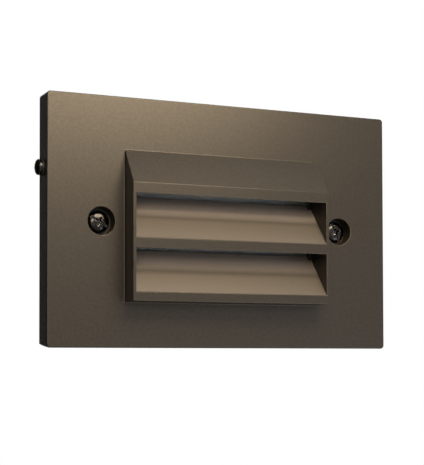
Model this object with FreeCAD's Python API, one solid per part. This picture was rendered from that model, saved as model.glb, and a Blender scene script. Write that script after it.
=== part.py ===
import FreeCAD, Part
import math
import os

# A louvred step light for a single-gang wall box. Millimetres. X runs right as seen from the
# front, Z up, and Y into the wall. The origin is the middle of the wall plane, which the back
# of the faceplate's rim rests on, so the faceplate lies at Y below 0 and the light engine
# reaches into the wall box at Y above 0.

# ---- Faceplate casting -------------------------------------------------------------------
PLATE_WIDTH = 118.0
PLATE_HEIGHT = 78.0
PLATE_CORNER = 1.2  # radius of its four upright corners
PLATE_EDGE = 0.4  # radius where the front face turns into the rim
RIM_DEPTH = 8.0  # front face to wall
RIM_WALL = 3.0
RIM_BEVEL = 1.3  # how far the rim's underside rises to the wall, so that drips leave at the front
RIM_LAND = 0.8  # front face to the foot of that bevel
FACE_WALL = 3.0

HOOD_WIDTH = 68.0
HOOD_SIDE_WALL = 1.0
HOOD_FLOOR_WALL = 2.0
HOOD_REACH = 7.4  # how far the hood's front stands off the front face
HOOD_ROOF_HEIGHT = 22.5  # where the sloped roof meets the front face
HOOD_FILLET = 0.4  # where the hood meets the front face
HOOD_EDGE = 0.25  # rounding of the hood's own edges

LIP_HEIGHT = 11.6  # top of the front lip
TOP_BAR = 3.3
MIDDLE_BAR = 3.1
BOTTOM_BAR = 2.7
SLOT_HEIGHT = 13.6
LOUVRE_ANGLE = 50.0  # slope of a louvre, front edge low, from the horizontal
LOUVRE_DEPTH = 11.5  # front lip to a louvre's back edge

# ---- Face screws, number 6 machine screws at the single-gang spacing -----------------------
FACE_SCREW_SPACING = 83.34
COUNTERBORE_RADIUS = 4.5
BOSS_WALL = 1.0
BOSS_FLOOR = 3.2
FACE_THREAD_RADIUS = 1.75
FACE_NECK_RADIUS = 1.4
FACE_SCREW_LENGTH = 26.2
FACE_HEAD_RADIUS = 3.5
FACE_HEAD_BAND = 0.9  # straight side of the head, below its dome
FACE_HEAD_DOME = 1.6
FACE_WASHER_THICKNESS = 0.6
FACE_WASHER_RADIUS = 3.9
THREAD_CHAMFER = 0.5

# ---- Side screw, which locks the light engine's flange in the pan ---------------------------
SIDE_SCREW_HEIGHT = 16.2
SIDE_SCREW_SETBACK = 2.9  # wall plane to its axis
SIDE_THREAD_RADIUS = 1.25
SIDE_SCREW_LENGTH = 9.0
SIDE_HEAD_RADIUS = 2.5
SIDE_HEAD_BAND = 0.6
SIDE_HEAD_DOME = 1.2
SIDE_WASHER_THICKNESS = 0.5

# ---- Phillips recess ------------------------------------------------------------------------
RECESS_SHARE = 0.56  # recess span over head diameter
RECESS_TAPER = 0.35  # span at the recess's floor over the span at its mouth
RECESS_DEPTH_SHARE = 0.62  # depth over the head's height
RECESS_WIDTH_SHARE = 0.24  # width of each wing over the span
FACE_RECESS_TURNS = {-1: 60.0, 1: 25.0}  # where each face screw came to rest, in degrees

# ---- Clearances -----------------------------------------------------------------------------
SCREW_CLEARANCE = 0.3  # around a screw in its clearance hole
RUNNING_FIT = 0.05  # around a screw in its thread or washer
SEAT_GAP = 0.3  # around a piece that drops into a pocket
SNUG = 0.05  # around a grommet's neck or a lead in its bore

# ---- Light engine housing -------------------------------------------------------------------
WALL_GASKET_THICKNESS = 1.2
WALL_GASKET_BAND = 7.0
ENGINE_WIDTH = 71.2
ENGINE_HEIGHT = 48.4
ENGINE_WALL = 3.0
ENGINE_CORNER = 2.0
FLANGE_CORNER = 1.2
CAVITY_CORNER = 1.0
PARTITION_FRONT = 8.0
PARTITION_THICKNESS = 2.5
RIB_COUNT = 9
RIB_PITCH = 7.0
RIB_WIDTH = 1.6
RIB_HEIGHT = 0.8
RIB_END_MARGIN = 3.0

# ---- Lens stack -----------------------------------------------------------------------------
LENS_LEDGE = 1.8
LENS_THICKNESS = 2.0
LENS_GASKET_THICKNESS = 0.6
RETAINER_THICKNESS = 1.8
RETAINER_SIDE = 2.0  # width of the retainer's two upright bars
LENS_SEAT_DEPTH = 4.6  # pan floor to the lens ledge

# ---- LED board ------------------------------------------------------------------------------
LED_BOARD_MARGIN = (2.6, 3.7)  # cavity wall to the board's edge
BOARD_THICKNESS = 1.6
PAD_THICKNESS = 0.5
SHEET_THICKNESS = 0.5
LED_SIZE = (3.5, 0.7, 2.8)
LED_COLUMNS = 6
LED_COLUMN_PITCH = 9.0
LED_ROW_HEIGHT = 8.0
WINDOW_GAP = 0.3
LEAD_NOTCH_WIDTH = 8.0
LEAD_NOTCH_HEIGHT = 4.3
CONNECTOR_WIDTH = 6.4
CONNECTOR_HEIGHT = 2.6
CONNECTOR_RISE = 2.9
CONNECTOR_CHAMFER = 0.3
CONNECTOR_SETBACK = 0.4  # lead notch to the connector
LED_SCREW_INSET = (3.0, 2.9)  # board's edge to its screws
LED_SCREW_LENGTH = 6.5
BOARD_SCREW_RADIUS = 1.5
BOARD_HEAD_RADIUS = 2.75
BOARD_HEAD_BAND = 0.8
BOARD_HEAD_DOME = 1.2
BOARD_BOSS_RADIUS = 3.0
LED_BOSS_LENGTH = 3.0
THREAD_END_GAP = 0.6  # blind hole past a screw's tip

# ---- Leads between the two boards -----------------------------------------------------------
LEAD_RADIUS = 0.55
LEAD_SPACING = 2.2
LEAD_INSET = 0.5  # LED board's lower edge to the leads
GROMMET_RADIUS = 2.6
GROMMET_NECK_RADIUS = 2.0
GROMMET_LIP = 0.9
LEAD_RUN_SHARE = 0.45  # arc radius over the shorter of its two runs

# ---- Driver board and its pieces ------------------------------------------------------------
DRIVER_SIDE_GAP = 0.6  # cover bosses to the board's edge
DRIVER_MARGIN = 1.2  # cavity wall to the board's upper and lower edges
STANDOFF_LENGTH = 4.4
STANDOFF_RADIUS = 2.4
STANDOFF_STUD_RADIUS = 1.2
STANDOFF_STUD_LENGTH = 1.5
STANDOFF_INSET = (6.0, 3.5)  # board's edge to its standoffs
DRIVER_SCREW_LENGTH = 4.5
DRIVER_SCREW_RADIUS = 1.25
DRIVER_HEAD_RADIUS = 2.4
DRIVER_HEAD_BAND = 0.7
DRIVER_HEAD_DOME = 1.0
PIN_RADIUS = 0.35

TRANSFORMER_CENTRE = (0.0, 0.5)
CORE_SIZE = (16.0, 12.5, 7.0)
CORE_LEG = 3.0
CORE_YOKE = 2.6
CORE_CENTRE_LEG = 4.0
WINDING_OVERHANG = 2.4

BULK_CAP_RADIUS = 5.0
BULK_CAP_LENGTH = 15.0
BULK_CAP_CENTRE = (17.8, -1.0)
OUTPUT_CAP_RADIUS = 4.0
OUTPUT_CAP_LENGTH = 12.0
OUTPUT_CAP_CENTRE = (14.0, 10.4)
CAP_BEAD = 0.35  # radius of the rolled groove and of the rounded top
CAP_GROOVE_HEIGHT = 1.8
FILM_CAP_SIZE = (13.0, 11.0, 6.0)
FILM_CAP_CENTRE = (-17.5, -2.0)
RECTIFIER_SIZE = (8.5, 3.3, 6.5)
RECTIFIER_CENTRE = (-18.0, 7.2)
CHIP_SIZE = (5.0, 1.7, 4.0)
CHIP_CENTRE = (12.5, -11.5)
CHOKE_RADIUS = 4.0
CHOKE_WAIST = 3.1
CHOKE_FLANGE = 1.3
CHOKE_LENGTH = 9.0
CHOKE_CENTRE = (2.5, -12.4)
FUSE_RADIUS = 2.0
FUSE_LENGTH = 10.0
FUSE_CENTRE = (-18.0, -9.0)
DIODE_RADIUS = 1.4
DIODE_LENGTH = 5.2
DIODE_CENTRE = (21.5, -9.8)
VARISTOR_RADIUS = 3.5
VARISTOR_THICKNESS = 3.2
VARISTOR_CENTRE = (-8.5, -12.0)
LYING_GAP = 0.4  # board to a part that lies on its own legs
LEG_SHARE = 0.5  # how far out the legs stand, over the part's half length

TERMINAL_SIZE = (15.4, 9.0, 9.0)
SUPPLY_INSET = 5.5  # driver board's upper edge to the supply leads
SUPPLY_PITCH = 5.0
TERMINAL_ENTRY_RADIUS = 1.5
TERMINAL_ENTRY_DEPTH = 6.0
TERMINAL_SCREW_RADIUS = 1.3
TERMINAL_SCREW_LENGTH = 2.6
TERMINAL_SCREW_SINK = 0.5
TERMINAL_SCREW_OFFSET = 3.0  # from the wire entries towards the block's lower edge
TERMINAL_SCREW_SLOT = 0.5  # the slot's width and depth

# ---- Rear cover -----------------------------------------------------------------------------
REAR_GASKET_THICKNESS = 0.5
COVER_THICKNESS = 2.0
COVER_BOSS_RADIUS = 3.2
COVER_BOSS_SINK = 0.4  # how far a corner boss runs into the two walls beside it
COVER_SCREW_LENGTH = 9.0
INSULATOR_THICKNESS = 0.4
INSULATOR_HEADROOM = 0.2  # over the transformer, the tallest piece on the driver board
SUPPLY_NECK = (16.0, 7.0)
SUPPLY_LIP = 1.6
SUPPLY_NOSE = 1.9
SUPPLY_BORE_RADIUS = 1.3
GROUND_SCREW_PLACE = (22.0, -13.0)
GROUND_BOSS_RADIUS = 3.4
GROUND_BOSS_LENGTH = 4.0
GROUND_THREAD_RADIUS = 1.75
GROUND_SCREW_LENGTH = 5.0
GROUND_HEX_ACROSS = 6.3
GROUND_HEX_HEIGHT = 2.4
GROUND_SLOT = 1.0  # the slot's width and depth
GROUND_FLANGE_RADIUS = 4.4
GROUND_FLANGE_THICKNESS = 0.8

# ---- Levels along Y, worked out from the sizes above ----------------------------------------
FACE_Y = -RIM_DEPTH
PAN_Y = FACE_Y + FACE_WALL
LIP_Y = FACE_Y - HOOD_REACH
TAIL_Y = LIP_Y + LOUVRE_DEPTH
COUNTERBORE_Y = -BOSS_FLOOR
FLANGE_BACK_Y = -WALL_GASKET_THICKNESS
LEDGE_Y = PAN_Y + LENS_SEAT_DEPTH
LENS_BACK_Y = LEDGE_Y - LENS_GASKET_THICKNESS
LENS_FRONT_Y = LENS_BACK_Y - LENS_THICKNESS
RETAINER_FRONT_Y = LENS_FRONT_Y - RETAINER_THICKNESS
PAD_FRONT_Y = PARTITION_FRONT - PAD_THICKNESS
LED_BOARD_FRONT_Y = PAD_FRONT_Y - BOARD_THICKNESS
SHEET_FRONT_Y = LED_BOARD_FRONT_Y - SHEET_THICKNESS
PARTITION_BACK_Y = PARTITION_FRONT + PARTITION_THICKNESS
DRIVER_FRONT_Y = PARTITION_BACK_Y + STANDOFF_LENGTH
DRIVER_BACK_Y = DRIVER_FRONT_Y + BOARD_THICKNESS
TRANSFORMER_TOP_Y = DRIVER_BACK_Y + WINDING_OVERHANG + CORE_SIZE[1]
COVER_FRONT_Y = TRANSFORMER_TOP_Y + INSULATOR_HEADROOM + INSULATOR_THICKNESS
ENGINE_BACK = COVER_FRONT_Y - REAR_GASKET_THICKNESS
COVER_BACK_Y = COVER_FRONT_Y + COVER_THICKNESS

# ---- Half widths and heights ----------------------------------------------------------------
PAN_HALF = (PLATE_WIDTH / 2 - RIM_WALL, PLATE_HEIGHT / 2 - RIM_WALL)
FLANGE_HALF = (PAN_HALF[0] - SEAT_GAP, PAN_HALF[1] - SEAT_GAP)
ENGINE_HALF = (ENGINE_WIDTH / 2, ENGINE_HEIGHT / 2)
CAVITY_HALF = (ENGINE_HALF[0] - ENGINE_WALL, ENGINE_HALF[1] - ENGINE_WALL)
POCKET_HALF = (CAVITY_HALF[0] + LENS_LEDGE, CAVITY_HALF[1] + LENS_LEDGE)
LENS_HALF = (POCKET_HALF[0] - SEAT_GAP, POCKET_HALF[1] - SEAT_GAP)
LED_BOARD_HALF = (CAVITY_HALF[0] - LED_BOARD_MARGIN[0], CAVITY_HALF[1] - LED_BOARD_MARGIN[1])
LED_SCREW_X = LED_BOARD_HALF[0] - LED_SCREW_INSET[0]
LED_SCREW_Z = LED_BOARD_HALF[1] - LED_SCREW_INSET[1]
LEAD_HEIGHT = LEAD_INSET - LED_BOARD_HALF[1]
NOTCH_TOP = LEAD_NOTCH_HEIGHT - LED_BOARD_HALF[1]
CONNECTOR_FOOT = NOTCH_TOP + CONNECTOR_SETBACK
CONNECTOR_TOP = CONNECTOR_FOOT + CONNECTOR_HEIGHT
COVER_SCREW_X = CAVITY_HALF[0] + COVER_BOSS_SINK - COVER_BOSS_RADIUS
COVER_SCREW_Z = CAVITY_HALF[1] + COVER_BOSS_SINK - COVER_BOSS_RADIUS
DRIVER_HALF = (
    COVER_SCREW_X - COVER_BOSS_RADIUS - DRIVER_SIDE_GAP,
    CAVITY_HALF[1] - DRIVER_MARGIN,
)
STANDOFF_X = DRIVER_HALF[0] - STANDOFF_INSET[0]
STANDOFF_Z = DRIVER_HALF[1] - STANDOFF_INSET[1]
SUPPLY_HEIGHT = DRIVER_HALF[1] - SUPPLY_INSET
OPENING_HALF = HOOD_WIDTH / 2 - HOOD_SIDE_WALL
RETAINER_OPENING_HALF = (LENS_HALF[0] - RETAINER_SIDE, CAVITY_HALF[1])
TAIL_HALF = RETAINER_OPENING_HALF[0] - SEAT_GAP  # a louvre's back edge fits the retainer
SCREW_X = FACE_SCREW_SPACING / 2
BOSS_RADIUS = COUNTERBORE_RADIUS + BOSS_WALL

LIP_FOOT = LIP_HEIGHT - TOP_BAR - 2 * SLOT_HEIGHT - MIDDLE_BAR - BOTTOM_BAR
UPPER_SLOT_TOP = LIP_HEIGHT - TOP_BAR
MIDDLE_BAR_TOP = UPPER_SLOT_TOP - SLOT_HEIGHT
BOTTOM_BAR_TOP = MIDDLE_BAR_TOP - MIDDLE_BAR - SLOT_HEIGHT
ROOF_SLOPE = (HOOD_ROOF_HEIGHT - LIP_HEIGHT) / HOOD_REACH
LOUVRE_SLOPE = math.tan(math.radians(LOUVRE_ANGLE))

OVERCUT = 1.0  # how far a cutting tool passes the face that it opens
SAME_PLACE = 1e-3  # two points nearer than this are one
SAME_WAY = 1e-6  # how far a unit vector's dot product may lie from 1

FORWARD = FreeCAD.Vector(0, -1, 0)
BACKWARD = FreeCAD.Vector(0, 1, 0)
LEFTWARD = FreeCAD.Vector(-1, 0, 0)
OUT_OF_WALL = FreeCAD.Rotation(FreeCAD.Vector(0, 0, 1), FORWARD)
INTO_WALL = FreeCAD.Rotation(FreeCAD.Vector(0, 0, 1), BACKWARD)
TO_THE_LEFT = FreeCAD.Rotation(FreeCAD.Vector(0, 0, 1), LEFTWARD)


# ---- Basic shapes ---------------------------------------------------------------------------
def point(x, y, z):
    return FreeCAD.Vector(x, y, z)


def block(x, y, z):
    """A box between two limits along each axis."""
    return Part.makeBox(x[1] - x[0], y[1] - y[0], z[1] - z[0], point(x[0], y[0], z[0]))


def board_block(size, centre, y):
    """A box of a given size whose foot stands at y, over a place (x, z) on a board."""
    return block(
        (centre[0] - size[0] / 2, centre[0] + size[0] / 2),
        (y, y + size[1]),
        (centre[1] - size[2] / 2, centre[1] + size[2] / 2),
    )


def slab(half, y, corner=0.0, centre=(0.0, 0.0)):
    """A rectangle of half width and half height, with rounded corners, from one Y to another."""
    shape = block(
        (centre[0] - half[0], centre[0] + half[0]), y, (centre[1] - half[1], centre[1] + half[1])
    )
    if not corner:
        return shape
    return shape.makeFillet(corner, edges_along(shape, BACKWARD))


def frame(outer, inner, y, corner):
    """A flat rectangular ring."""
    return slab(outer, y, corner).cut(slab(inner, (y[0] - OVERCUT, y[1] + OVERCUT), CAVITY_CORNER))


def rod(radius, place, y):
    """A round bar along Y at a place (x, z)."""
    return Part.makeCylinder(radius, y[1] - y[0], point(place[0], y[0], place[1]), BACKWARD)


def lying_rod(radius, x, y, z):
    """A round bar along X."""
    return Part.makeCylinder(radius, x[1] - x[0], point(x[0], y, z), FreeCAD.Vector(1, 0, 0))


def extrusion(outline, half_width):
    """A prism along X, with its outline given as (y, z) points."""
    corners = [point(-half_width, y, z) for y, z in outline]
    face = Part.Face(Part.makePolygon(corners + corners[:1]))
    return face.extrude(point(2 * half_width, 0, 0))


def edges_along(shape, direction):
    """The straight edges of a shape that run along a direction."""
    found = []
    for edge in shape.Edges:
        run = edge.Vertexes[-1].Point - edge.Vertexes[0].Point
        if run.Length > 0 and abs(abs(run.normalize().dot(direction)) - 1) < SAME_WAY:
            found.append(edge)
    return found


def edges_at(shape, y):
    """The edges of a shape whose ends all lie in the plane at y."""
    return [e for e in shape.Edges if all(abs(v.Point.y - y) < SAME_PLACE for v in e.Vertexes)]


def four(x, z):
    """The four places of a pattern that is the same left and right, above and below."""
    return [(sx * x, sz * z) for sx in (-1, 1) for sz in (-1, 1)]


def fused(shapes):
    whole = shapes[0]
    for shape in shapes[1:]:
        whole = whole.fuse(shape)
    return whole.removeSplitter()


def without(shape, tools):
    for tool in tools:
        shape = shape.cut(tool)
    return shape


def group(shapes):
    """Identical pieces that share a node, as separate solids."""
    return Part.makeCompound(shapes)


# ---- Screws and washers, made along +Z with the head's seat at the origin --------------------
def phillips_recess(head_radius, head_height, first_turn):
    """The cross-shaped tool that cuts a Phillips recess into a head."""
    span = 2 * head_radius * RECESS_SHARE
    depth = head_height * RECESS_DEPTH_SHARE
    width = span * RECESS_WIDTH_SHARE
    mouth = head_height + OVERCUT
    wings = []
    for turn in (0, 90):
        outline = [
            point(-span / 2, -width / 2, mouth),
            point(span / 2, -width / 2, mouth),
            point(span / 2 * RECESS_TAPER, -width / 2, head_height - depth),
            point(-span / 2 * RECESS_TAPER, -width / 2, head_height - depth),
        ]
        wing = Part.Face(Part.makePolygon(outline + outline[:1])).extrude(point(0, width, 0))
        wing.rotate(point(0, 0, 0), point(0, 0, 1), first_turn + turn)
        wings.append(wing)
    return fused(wings)


def domed_head(radius, band, dome):
    """A head with a short straight side and a domed top."""
    sphere_radius = (radius**2 + dome**2) / (2 * dome)
    sphere = Part.makeSphere(sphere_radius, point(0, 0, band + dome - sphere_radius))
    blank = Part.makeCylinder(radius, band + dome)
    return blank.common(sphere)


def machine_screw(head, shank_radius, length, neck=None, recess_turn=0.0):
    """A domed Phillips screw: its head rises from the origin along +Z and its shank hangs below.

    neck is (radius, length) of a thinner stretch under the head, or None, and recess_turn is how
    far the recess stands from the X axis, in degrees.
    """
    radius, band, dome = head
    top = domed_head(radius, band, dome).cut(phillips_recess(radius, band + dome, recess_turn))
    neck_radius, neck_length = neck or (shank_radius, 0.0)
    straight = Part.makeCylinder(shank_radius, length - neck_length - THREAD_CHAMFER)
    straight.translate(point(0, 0, THREAD_CHAMFER - length))
    tip = Part.makeCone(shank_radius - THREAD_CHAMFER, shank_radius, THREAD_CHAMFER)
    tip.translate(point(0, 0, -length))
    pieces = [top, straight, tip]
    if neck:
        waist = Part.makeCylinder(neck_radius, neck_length)
        waist.translate(point(0, 0, -neck_length))
        pieces.append(waist)
    return fused(pieces)


def washer(outer_radius, bore_radius, thickness):
    """A flat washer that rises from the origin along +Z."""
    return Part.makeCylinder(outer_radius, thickness).cut(Part.makeCylinder(bore_radius, thickness))


def placed(shape, turn, place):
    """A copy of a shape, turned from +Z and moved to its place."""
    copy = shape.copy()
    copy.Placement = FreeCAD.Placement(place, turn)
    return copy


# ---- Faceplate ------------------------------------------------------------------------------
def louvre(front_top, bar_height):
    """A sloped louvre whose front edge is a bar, fused between the hood's side walls."""
    rise = LOUVRE_DEPTH * LOUVRE_SLOPE
    outline = [
        (LIP_Y, front_top),
        (TAIL_Y, front_top + rise),
        (TAIL_Y, front_top + rise - bar_height),
        (LIP_Y, front_top - bar_height),
    ]
    blade = extrusion(outline, HOOD_WIDTH / 2 - HOOD_SIDE_WALL / 2)
    heights = (LIP_FOOT, HOOD_ROOF_HEIGHT)
    ahead = block((-HOOD_WIDTH / 2, HOOD_WIDTH / 2), (LIP_Y, PAN_Y), heights)
    behind = block((-TAIL_HALF, TAIL_HALF), (PAN_Y, TAIL_Y), heights)
    return fused([blade.common(ahead), blade.common(behind)])


def hood_shell():
    """The hood's outer form: sloped roof, upright front and flat floor."""
    root = PAN_Y
    outline = [
        (root, HOOD_ROOF_HEIGHT),
        (FACE_Y, HOOD_ROOF_HEIGHT),
        (LIP_Y, LIP_HEIGHT),
        (LIP_Y, LIP_FOOT),
        (root, LIP_FOOT),
    ]
    shell = extrusion(outline, HOOD_WIDTH / 2)
    outer_edges = [
        edge
        for edge in shell.Edges
        if min(v.Point.y for v in edge.Vertexes) < FACE_Y - OVERCUT
        and max(v.Point.y for v in edge.Vertexes) < FACE_Y + SAME_PLACE
    ]
    return shell.makeFillet(HOOD_EDGE, outer_edges)


def hood_cavity():
    """The space inside the hood, open at the front and through the plate."""
    front = LIP_Y - OVERCUT
    back = PAN_Y + OVERCUT
    outline = [
        (front, UPPER_SLOT_TOP - OVERCUT * ROOF_SLOPE),
        (back, UPPER_SLOT_TOP + (back - LIP_Y) * ROOF_SLOPE),
        (back, LIP_FOOT + HOOD_FLOOR_WALL),
        (front, LIP_FOOT + HOOD_FLOOR_WALL),
    ]
    return extrusion(outline, OPENING_HALF)


def plate_pan():
    """The plate with its rim, hollow at the back, and the two screw bosses."""
    half = (PLATE_WIDTH / 2, PLATE_HEIGHT / 2)
    blank = slab(half, (FACE_Y, 0), PLATE_CORNER)
    blank = blank.makeFillet(PLATE_EDGE, edges_at(blank, FACE_Y))
    pan = blank.cut(slab(PAN_HALF, (PAN_Y, OVERCUT), CAVITY_CORNER))
    bosses = [rod(BOSS_RADIUS, (sx * SCREW_X, 0), (PAN_Y - OVERCUT, 0)) for sx in (-1, 1)]
    return fused([pan] + bosses)


def drip_bevel():
    """The wedge cut off the underside of the rim."""
    foot = -PLATE_HEIGHT / 2
    slope = RIM_BEVEL / (RIM_DEPTH - RIM_LAND)
    land = FACE_Y + RIM_LAND
    outline = [
        (land - OVERCUT, foot - slope * OVERCUT),
        (OVERCUT, foot + slope * (OVERCUT - land)),
        (OVERCUT, foot - 2 * OVERCUT),
        (land - OVERCUT, foot - 2 * OVERCUT),
    ]
    return extrusion(outline, PLATE_WIDTH / 2 + OVERCUT)


def make_faceplate():
    body = fused([plate_pan(), hood_shell()])
    junction = [
        edge
        for edge in edges_at(body, FACE_Y)
        if all(abs(v.Point.x) < HOOD_WIDTH / 2 + SAME_PLACE for v in edge.Vertexes)
        and all(v.Point.z < HOOD_ROOF_HEIGHT + SAME_PLACE for v in edge.Vertexes)
        and all(v.Point.z > LIP_FOOT - SAME_PLACE for v in edge.Vertexes)
    ]
    body = body.makeFillet(HOOD_FILLET, junction)
    body = body.cut(hood_cavity())
    body = fused([body, louvre(MIDDLE_BAR_TOP, MIDDLE_BAR), louvre(BOTTOM_BAR_TOP, BOTTOM_BAR)])
    tools = [drip_bevel()]
    for sx in (-1, 1):
        place = (sx * SCREW_X, 0)
        tools.append(rod(COUNTERBORE_RADIUS, place, (FACE_Y - OVERCUT, COUNTERBORE_Y)))
        tools.append(rod(FACE_THREAD_RADIUS + SCREW_CLEARANCE, place, (FACE_Y, OVERCUT)))
    side_hole_radius = SIDE_THREAD_RADIUS + SCREW_CLEARANCE
    side_span = (-PLATE_WIDTH / 2 - OVERCUT, -PAN_HALF[0] + OVERCUT)
    tools.append(lying_rod(side_hole_radius, side_span, -SIDE_SCREW_SETBACK, SIDE_SCREW_HEIGHT))
    return without(body, tools)


# ---- Face screws and the side screw ---------------------------------------------------------
def make_face_screw(side):
    """A screw whose thin neck keeps its washer, and whose full thread starts at the wall plane."""
    neck = (FACE_NECK_RADIUS, BOSS_FLOOR + FACE_WASHER_THICKNESS)
    head = (FACE_HEAD_RADIUS, FACE_HEAD_BAND, FACE_HEAD_DOME)
    turn = FACE_RECESS_TURNS[side]
    screw = machine_screw(head, FACE_THREAD_RADIUS, FACE_SCREW_LENGTH, neck, turn)
    return placed(screw, OUT_OF_WALL, point(side * SCREW_X, COUNTERBORE_Y - FACE_WASHER_THICKNESS, 0))


def make_face_washer(side):
    ring = washer(FACE_WASHER_RADIUS, FACE_NECK_RADIUS + RUNNING_FIT, FACE_WASHER_THICKNESS)
    return placed(ring, OUT_OF_WALL, point(side * SCREW_X, COUNTERBORE_Y, 0))


def side_place(stand_off):
    x = -PLATE_WIDTH / 2 - stand_off
    return point(x, -SIDE_SCREW_SETBACK, SIDE_SCREW_HEIGHT)


def make_side_screw():
    head = (SIDE_HEAD_RADIUS, SIDE_HEAD_BAND, SIDE_HEAD_DOME)
    screw = machine_screw(head, SIDE_THREAD_RADIUS, SIDE_SCREW_LENGTH)
    return placed(screw, TO_THE_LEFT, side_place(SIDE_WASHER_THICKNESS))


def make_side_washer():
    ring = washer(SIDE_HEAD_RADIUS, SIDE_THREAD_RADIUS + RUNNING_FIT, SIDE_WASHER_THICKNESS)
    return placed(ring, TO_THE_LEFT, side_place(0))


# ---- Light engine housing -------------------------------------------------------------------
def housing_ribs():
    """Cooling ribs along the housing's top and bottom."""
    ribs = []
    first = -(RIB_COUNT - 1) / 2 * RIB_PITCH
    length = (FLANGE_BACK_Y, ENGINE_BACK - RIB_END_MARGIN)
    for sz in (-1, 1):
        low, high = sorted((sz * (ENGINE_HALF[1] - RIB_HEIGHT), sz * (ENGINE_HALF[1] + RIB_HEIGHT)))
        for index in range(RIB_COUNT):
            x = first + index * RIB_PITCH
            ribs.append(block((x - RIB_WIDTH / 2, x + RIB_WIDTH / 2), length, (low, high)))
    return ribs


def boss_clearance():
    """The tools that keep what lies in the pan clear of the two face screw bosses."""
    radius = BOSS_RADIUS + SEAT_GAP
    return [rod(radius, (sx * SCREW_X, 0), (PAN_Y - OVERCUT, OVERCUT)) for sx in (-1, 1)]


def make_engine_housing():
    body = fused(
        [
            slab(FLANGE_HALF, (PAN_Y, FLANGE_BACK_Y), FLANGE_CORNER),
            slab(ENGINE_HALF, (FLANGE_BACK_Y - OVERCUT, ENGINE_BACK), ENGINE_CORNER),
        ]
        + housing_ribs()
    )
    body = without(
        body,
        [
            slab(POCKET_HALF, (PAN_Y - OVERCUT, LEDGE_Y), CAVITY_CORNER),
            slab(CAVITY_HALF, (PAN_Y, PARTITION_FRONT), CAVITY_CORNER),
            slab(CAVITY_HALF, (PARTITION_BACK_Y, ENGINE_BACK + OVERCUT), CAVITY_CORNER),
        ],
    )
    cover_bosses = [
        rod(COVER_BOSS_RADIUS, place, (PARTITION_BACK_Y - OVERCUT, ENGINE_BACK))
        for place in four(COVER_SCREW_X, COVER_SCREW_Z)
    ]
    inner = slab(ENGINE_HALF, (0, ENGINE_BACK), ENGINE_CORNER)
    led_boss_y = (PARTITION_BACK_Y - OVERCUT, PARTITION_BACK_Y + LED_BOSS_LENGTH)
    led_bosses = [rod(BOARD_BOSS_RADIUS, place, led_boss_y) for place in four(LED_SCREW_X, LED_SCREW_Z)]
    body = fused([body] + [boss.common(inner) for boss in cover_bosses] + led_bosses)
    tapped = BOARD_SCREW_RADIUS + RUNNING_FIT
    cover_y = (COVER_BACK_Y - COVER_SCREW_LENGTH - THREAD_END_GAP, ENGINE_BACK + OVERCUT)
    led_y = (PARTITION_FRONT - OVERCUT, SHEET_FRONT_Y + LED_SCREW_LENGTH + THREAD_END_GAP)
    stud_y = (PARTITION_BACK_Y - STANDOFF_STUD_LENGTH, PARTITION_BACK_Y + OVERCUT)
    stud_radius = STANDOFF_STUD_RADIUS + SNUG
    tools = [rod(tapped, place, cover_y) for place in four(COVER_SCREW_X, COVER_SCREW_Z)]
    tools += [rod(tapped, place, led_y) for place in four(LED_SCREW_X, LED_SCREW_Z)]
    tools += [rod(stud_radius, place, stud_y) for place in four(STANDOFF_X, STANDOFF_Z)]
    hole = (PARTITION_FRONT - OVERCUT, PARTITION_BACK_Y + OVERCUT)
    tools.append(rod(GROMMET_NECK_RADIUS + SNUG, (0, LEAD_HEIGHT), hole))
    tools += boss_clearance()
    tip = -PLATE_WIDTH / 2 - SIDE_WASHER_THICKNESS + SIDE_SCREW_LENGTH
    span = (-PAN_HALF[0] - OVERCUT, tip + THREAD_END_GAP)
    radius = SIDE_THREAD_RADIUS + RUNNING_FIT
    tools.append(lying_rod(radius, span, -SIDE_SCREW_SETBACK, SIDE_SCREW_HEIGHT))
    return without(body, tools)


def make_wall_gasket():
    inner = (FLANGE_HALF[0] - WALL_GASKET_BAND, FLANGE_HALF[1] - WALL_GASKET_BAND)
    ring = frame(FLANGE_HALF, inner, (FLANGE_BACK_Y, 0), FLANGE_CORNER)
    return without(ring, boss_clearance())


def make_lens_gasket():
    return frame(LENS_HALF, CAVITY_HALF, (LENS_BACK_Y, LEDGE_Y), CAVITY_CORNER)


def make_lens():
    return slab(LENS_HALF, (LENS_FRONT_Y, LENS_BACK_Y), CAVITY_CORNER)


def make_lens_retainer():
    y = (RETAINER_FRONT_Y, LENS_FRONT_Y)
    return frame(LENS_HALF, RETAINER_OPENING_HALF, y, CAVITY_CORNER)


# ---- LED board ------------------------------------------------------------------------------
def led_places():
    first = -(LED_COLUMNS - 1) / 2 * LED_COLUMN_PITCH
    columns = [first + index * LED_COLUMN_PITCH for index in range(LED_COLUMNS)]
    return [(x, sz * LED_ROW_HEIGHT) for x in columns for sz in (-1, 1)]


def led_layer(y, hole_radius):
    """A layer of the LED board's stack: the board's outline with its lead notch and screw holes."""
    through = (y[0] - OVERCUT, y[1] + OVERCUT)
    layer = slab(LED_BOARD_HALF, y, CAVITY_CORNER)
    notch_z = (-LED_BOARD_HALF[1] - OVERCUT, NOTCH_TOP)
    notch = block((-LEAD_NOTCH_WIDTH / 2, LEAD_NOTCH_WIDTH / 2), through, notch_z)
    holes = [rod(hole_radius, place, through) for place in four(LED_SCREW_X, LED_SCREW_Z)]
    return without(layer, [notch] + holes)


def make_thermal_pad():
    return led_layer((PAD_FRONT_Y, PARTITION_FRONT), BOARD_SCREW_RADIUS + SCREW_CLEARANCE)


def make_led_board():
    return led_layer((LED_BOARD_FRONT_Y, PAD_FRONT_Y), BOARD_SCREW_RADIUS + SCREW_CLEARANCE)


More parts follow.
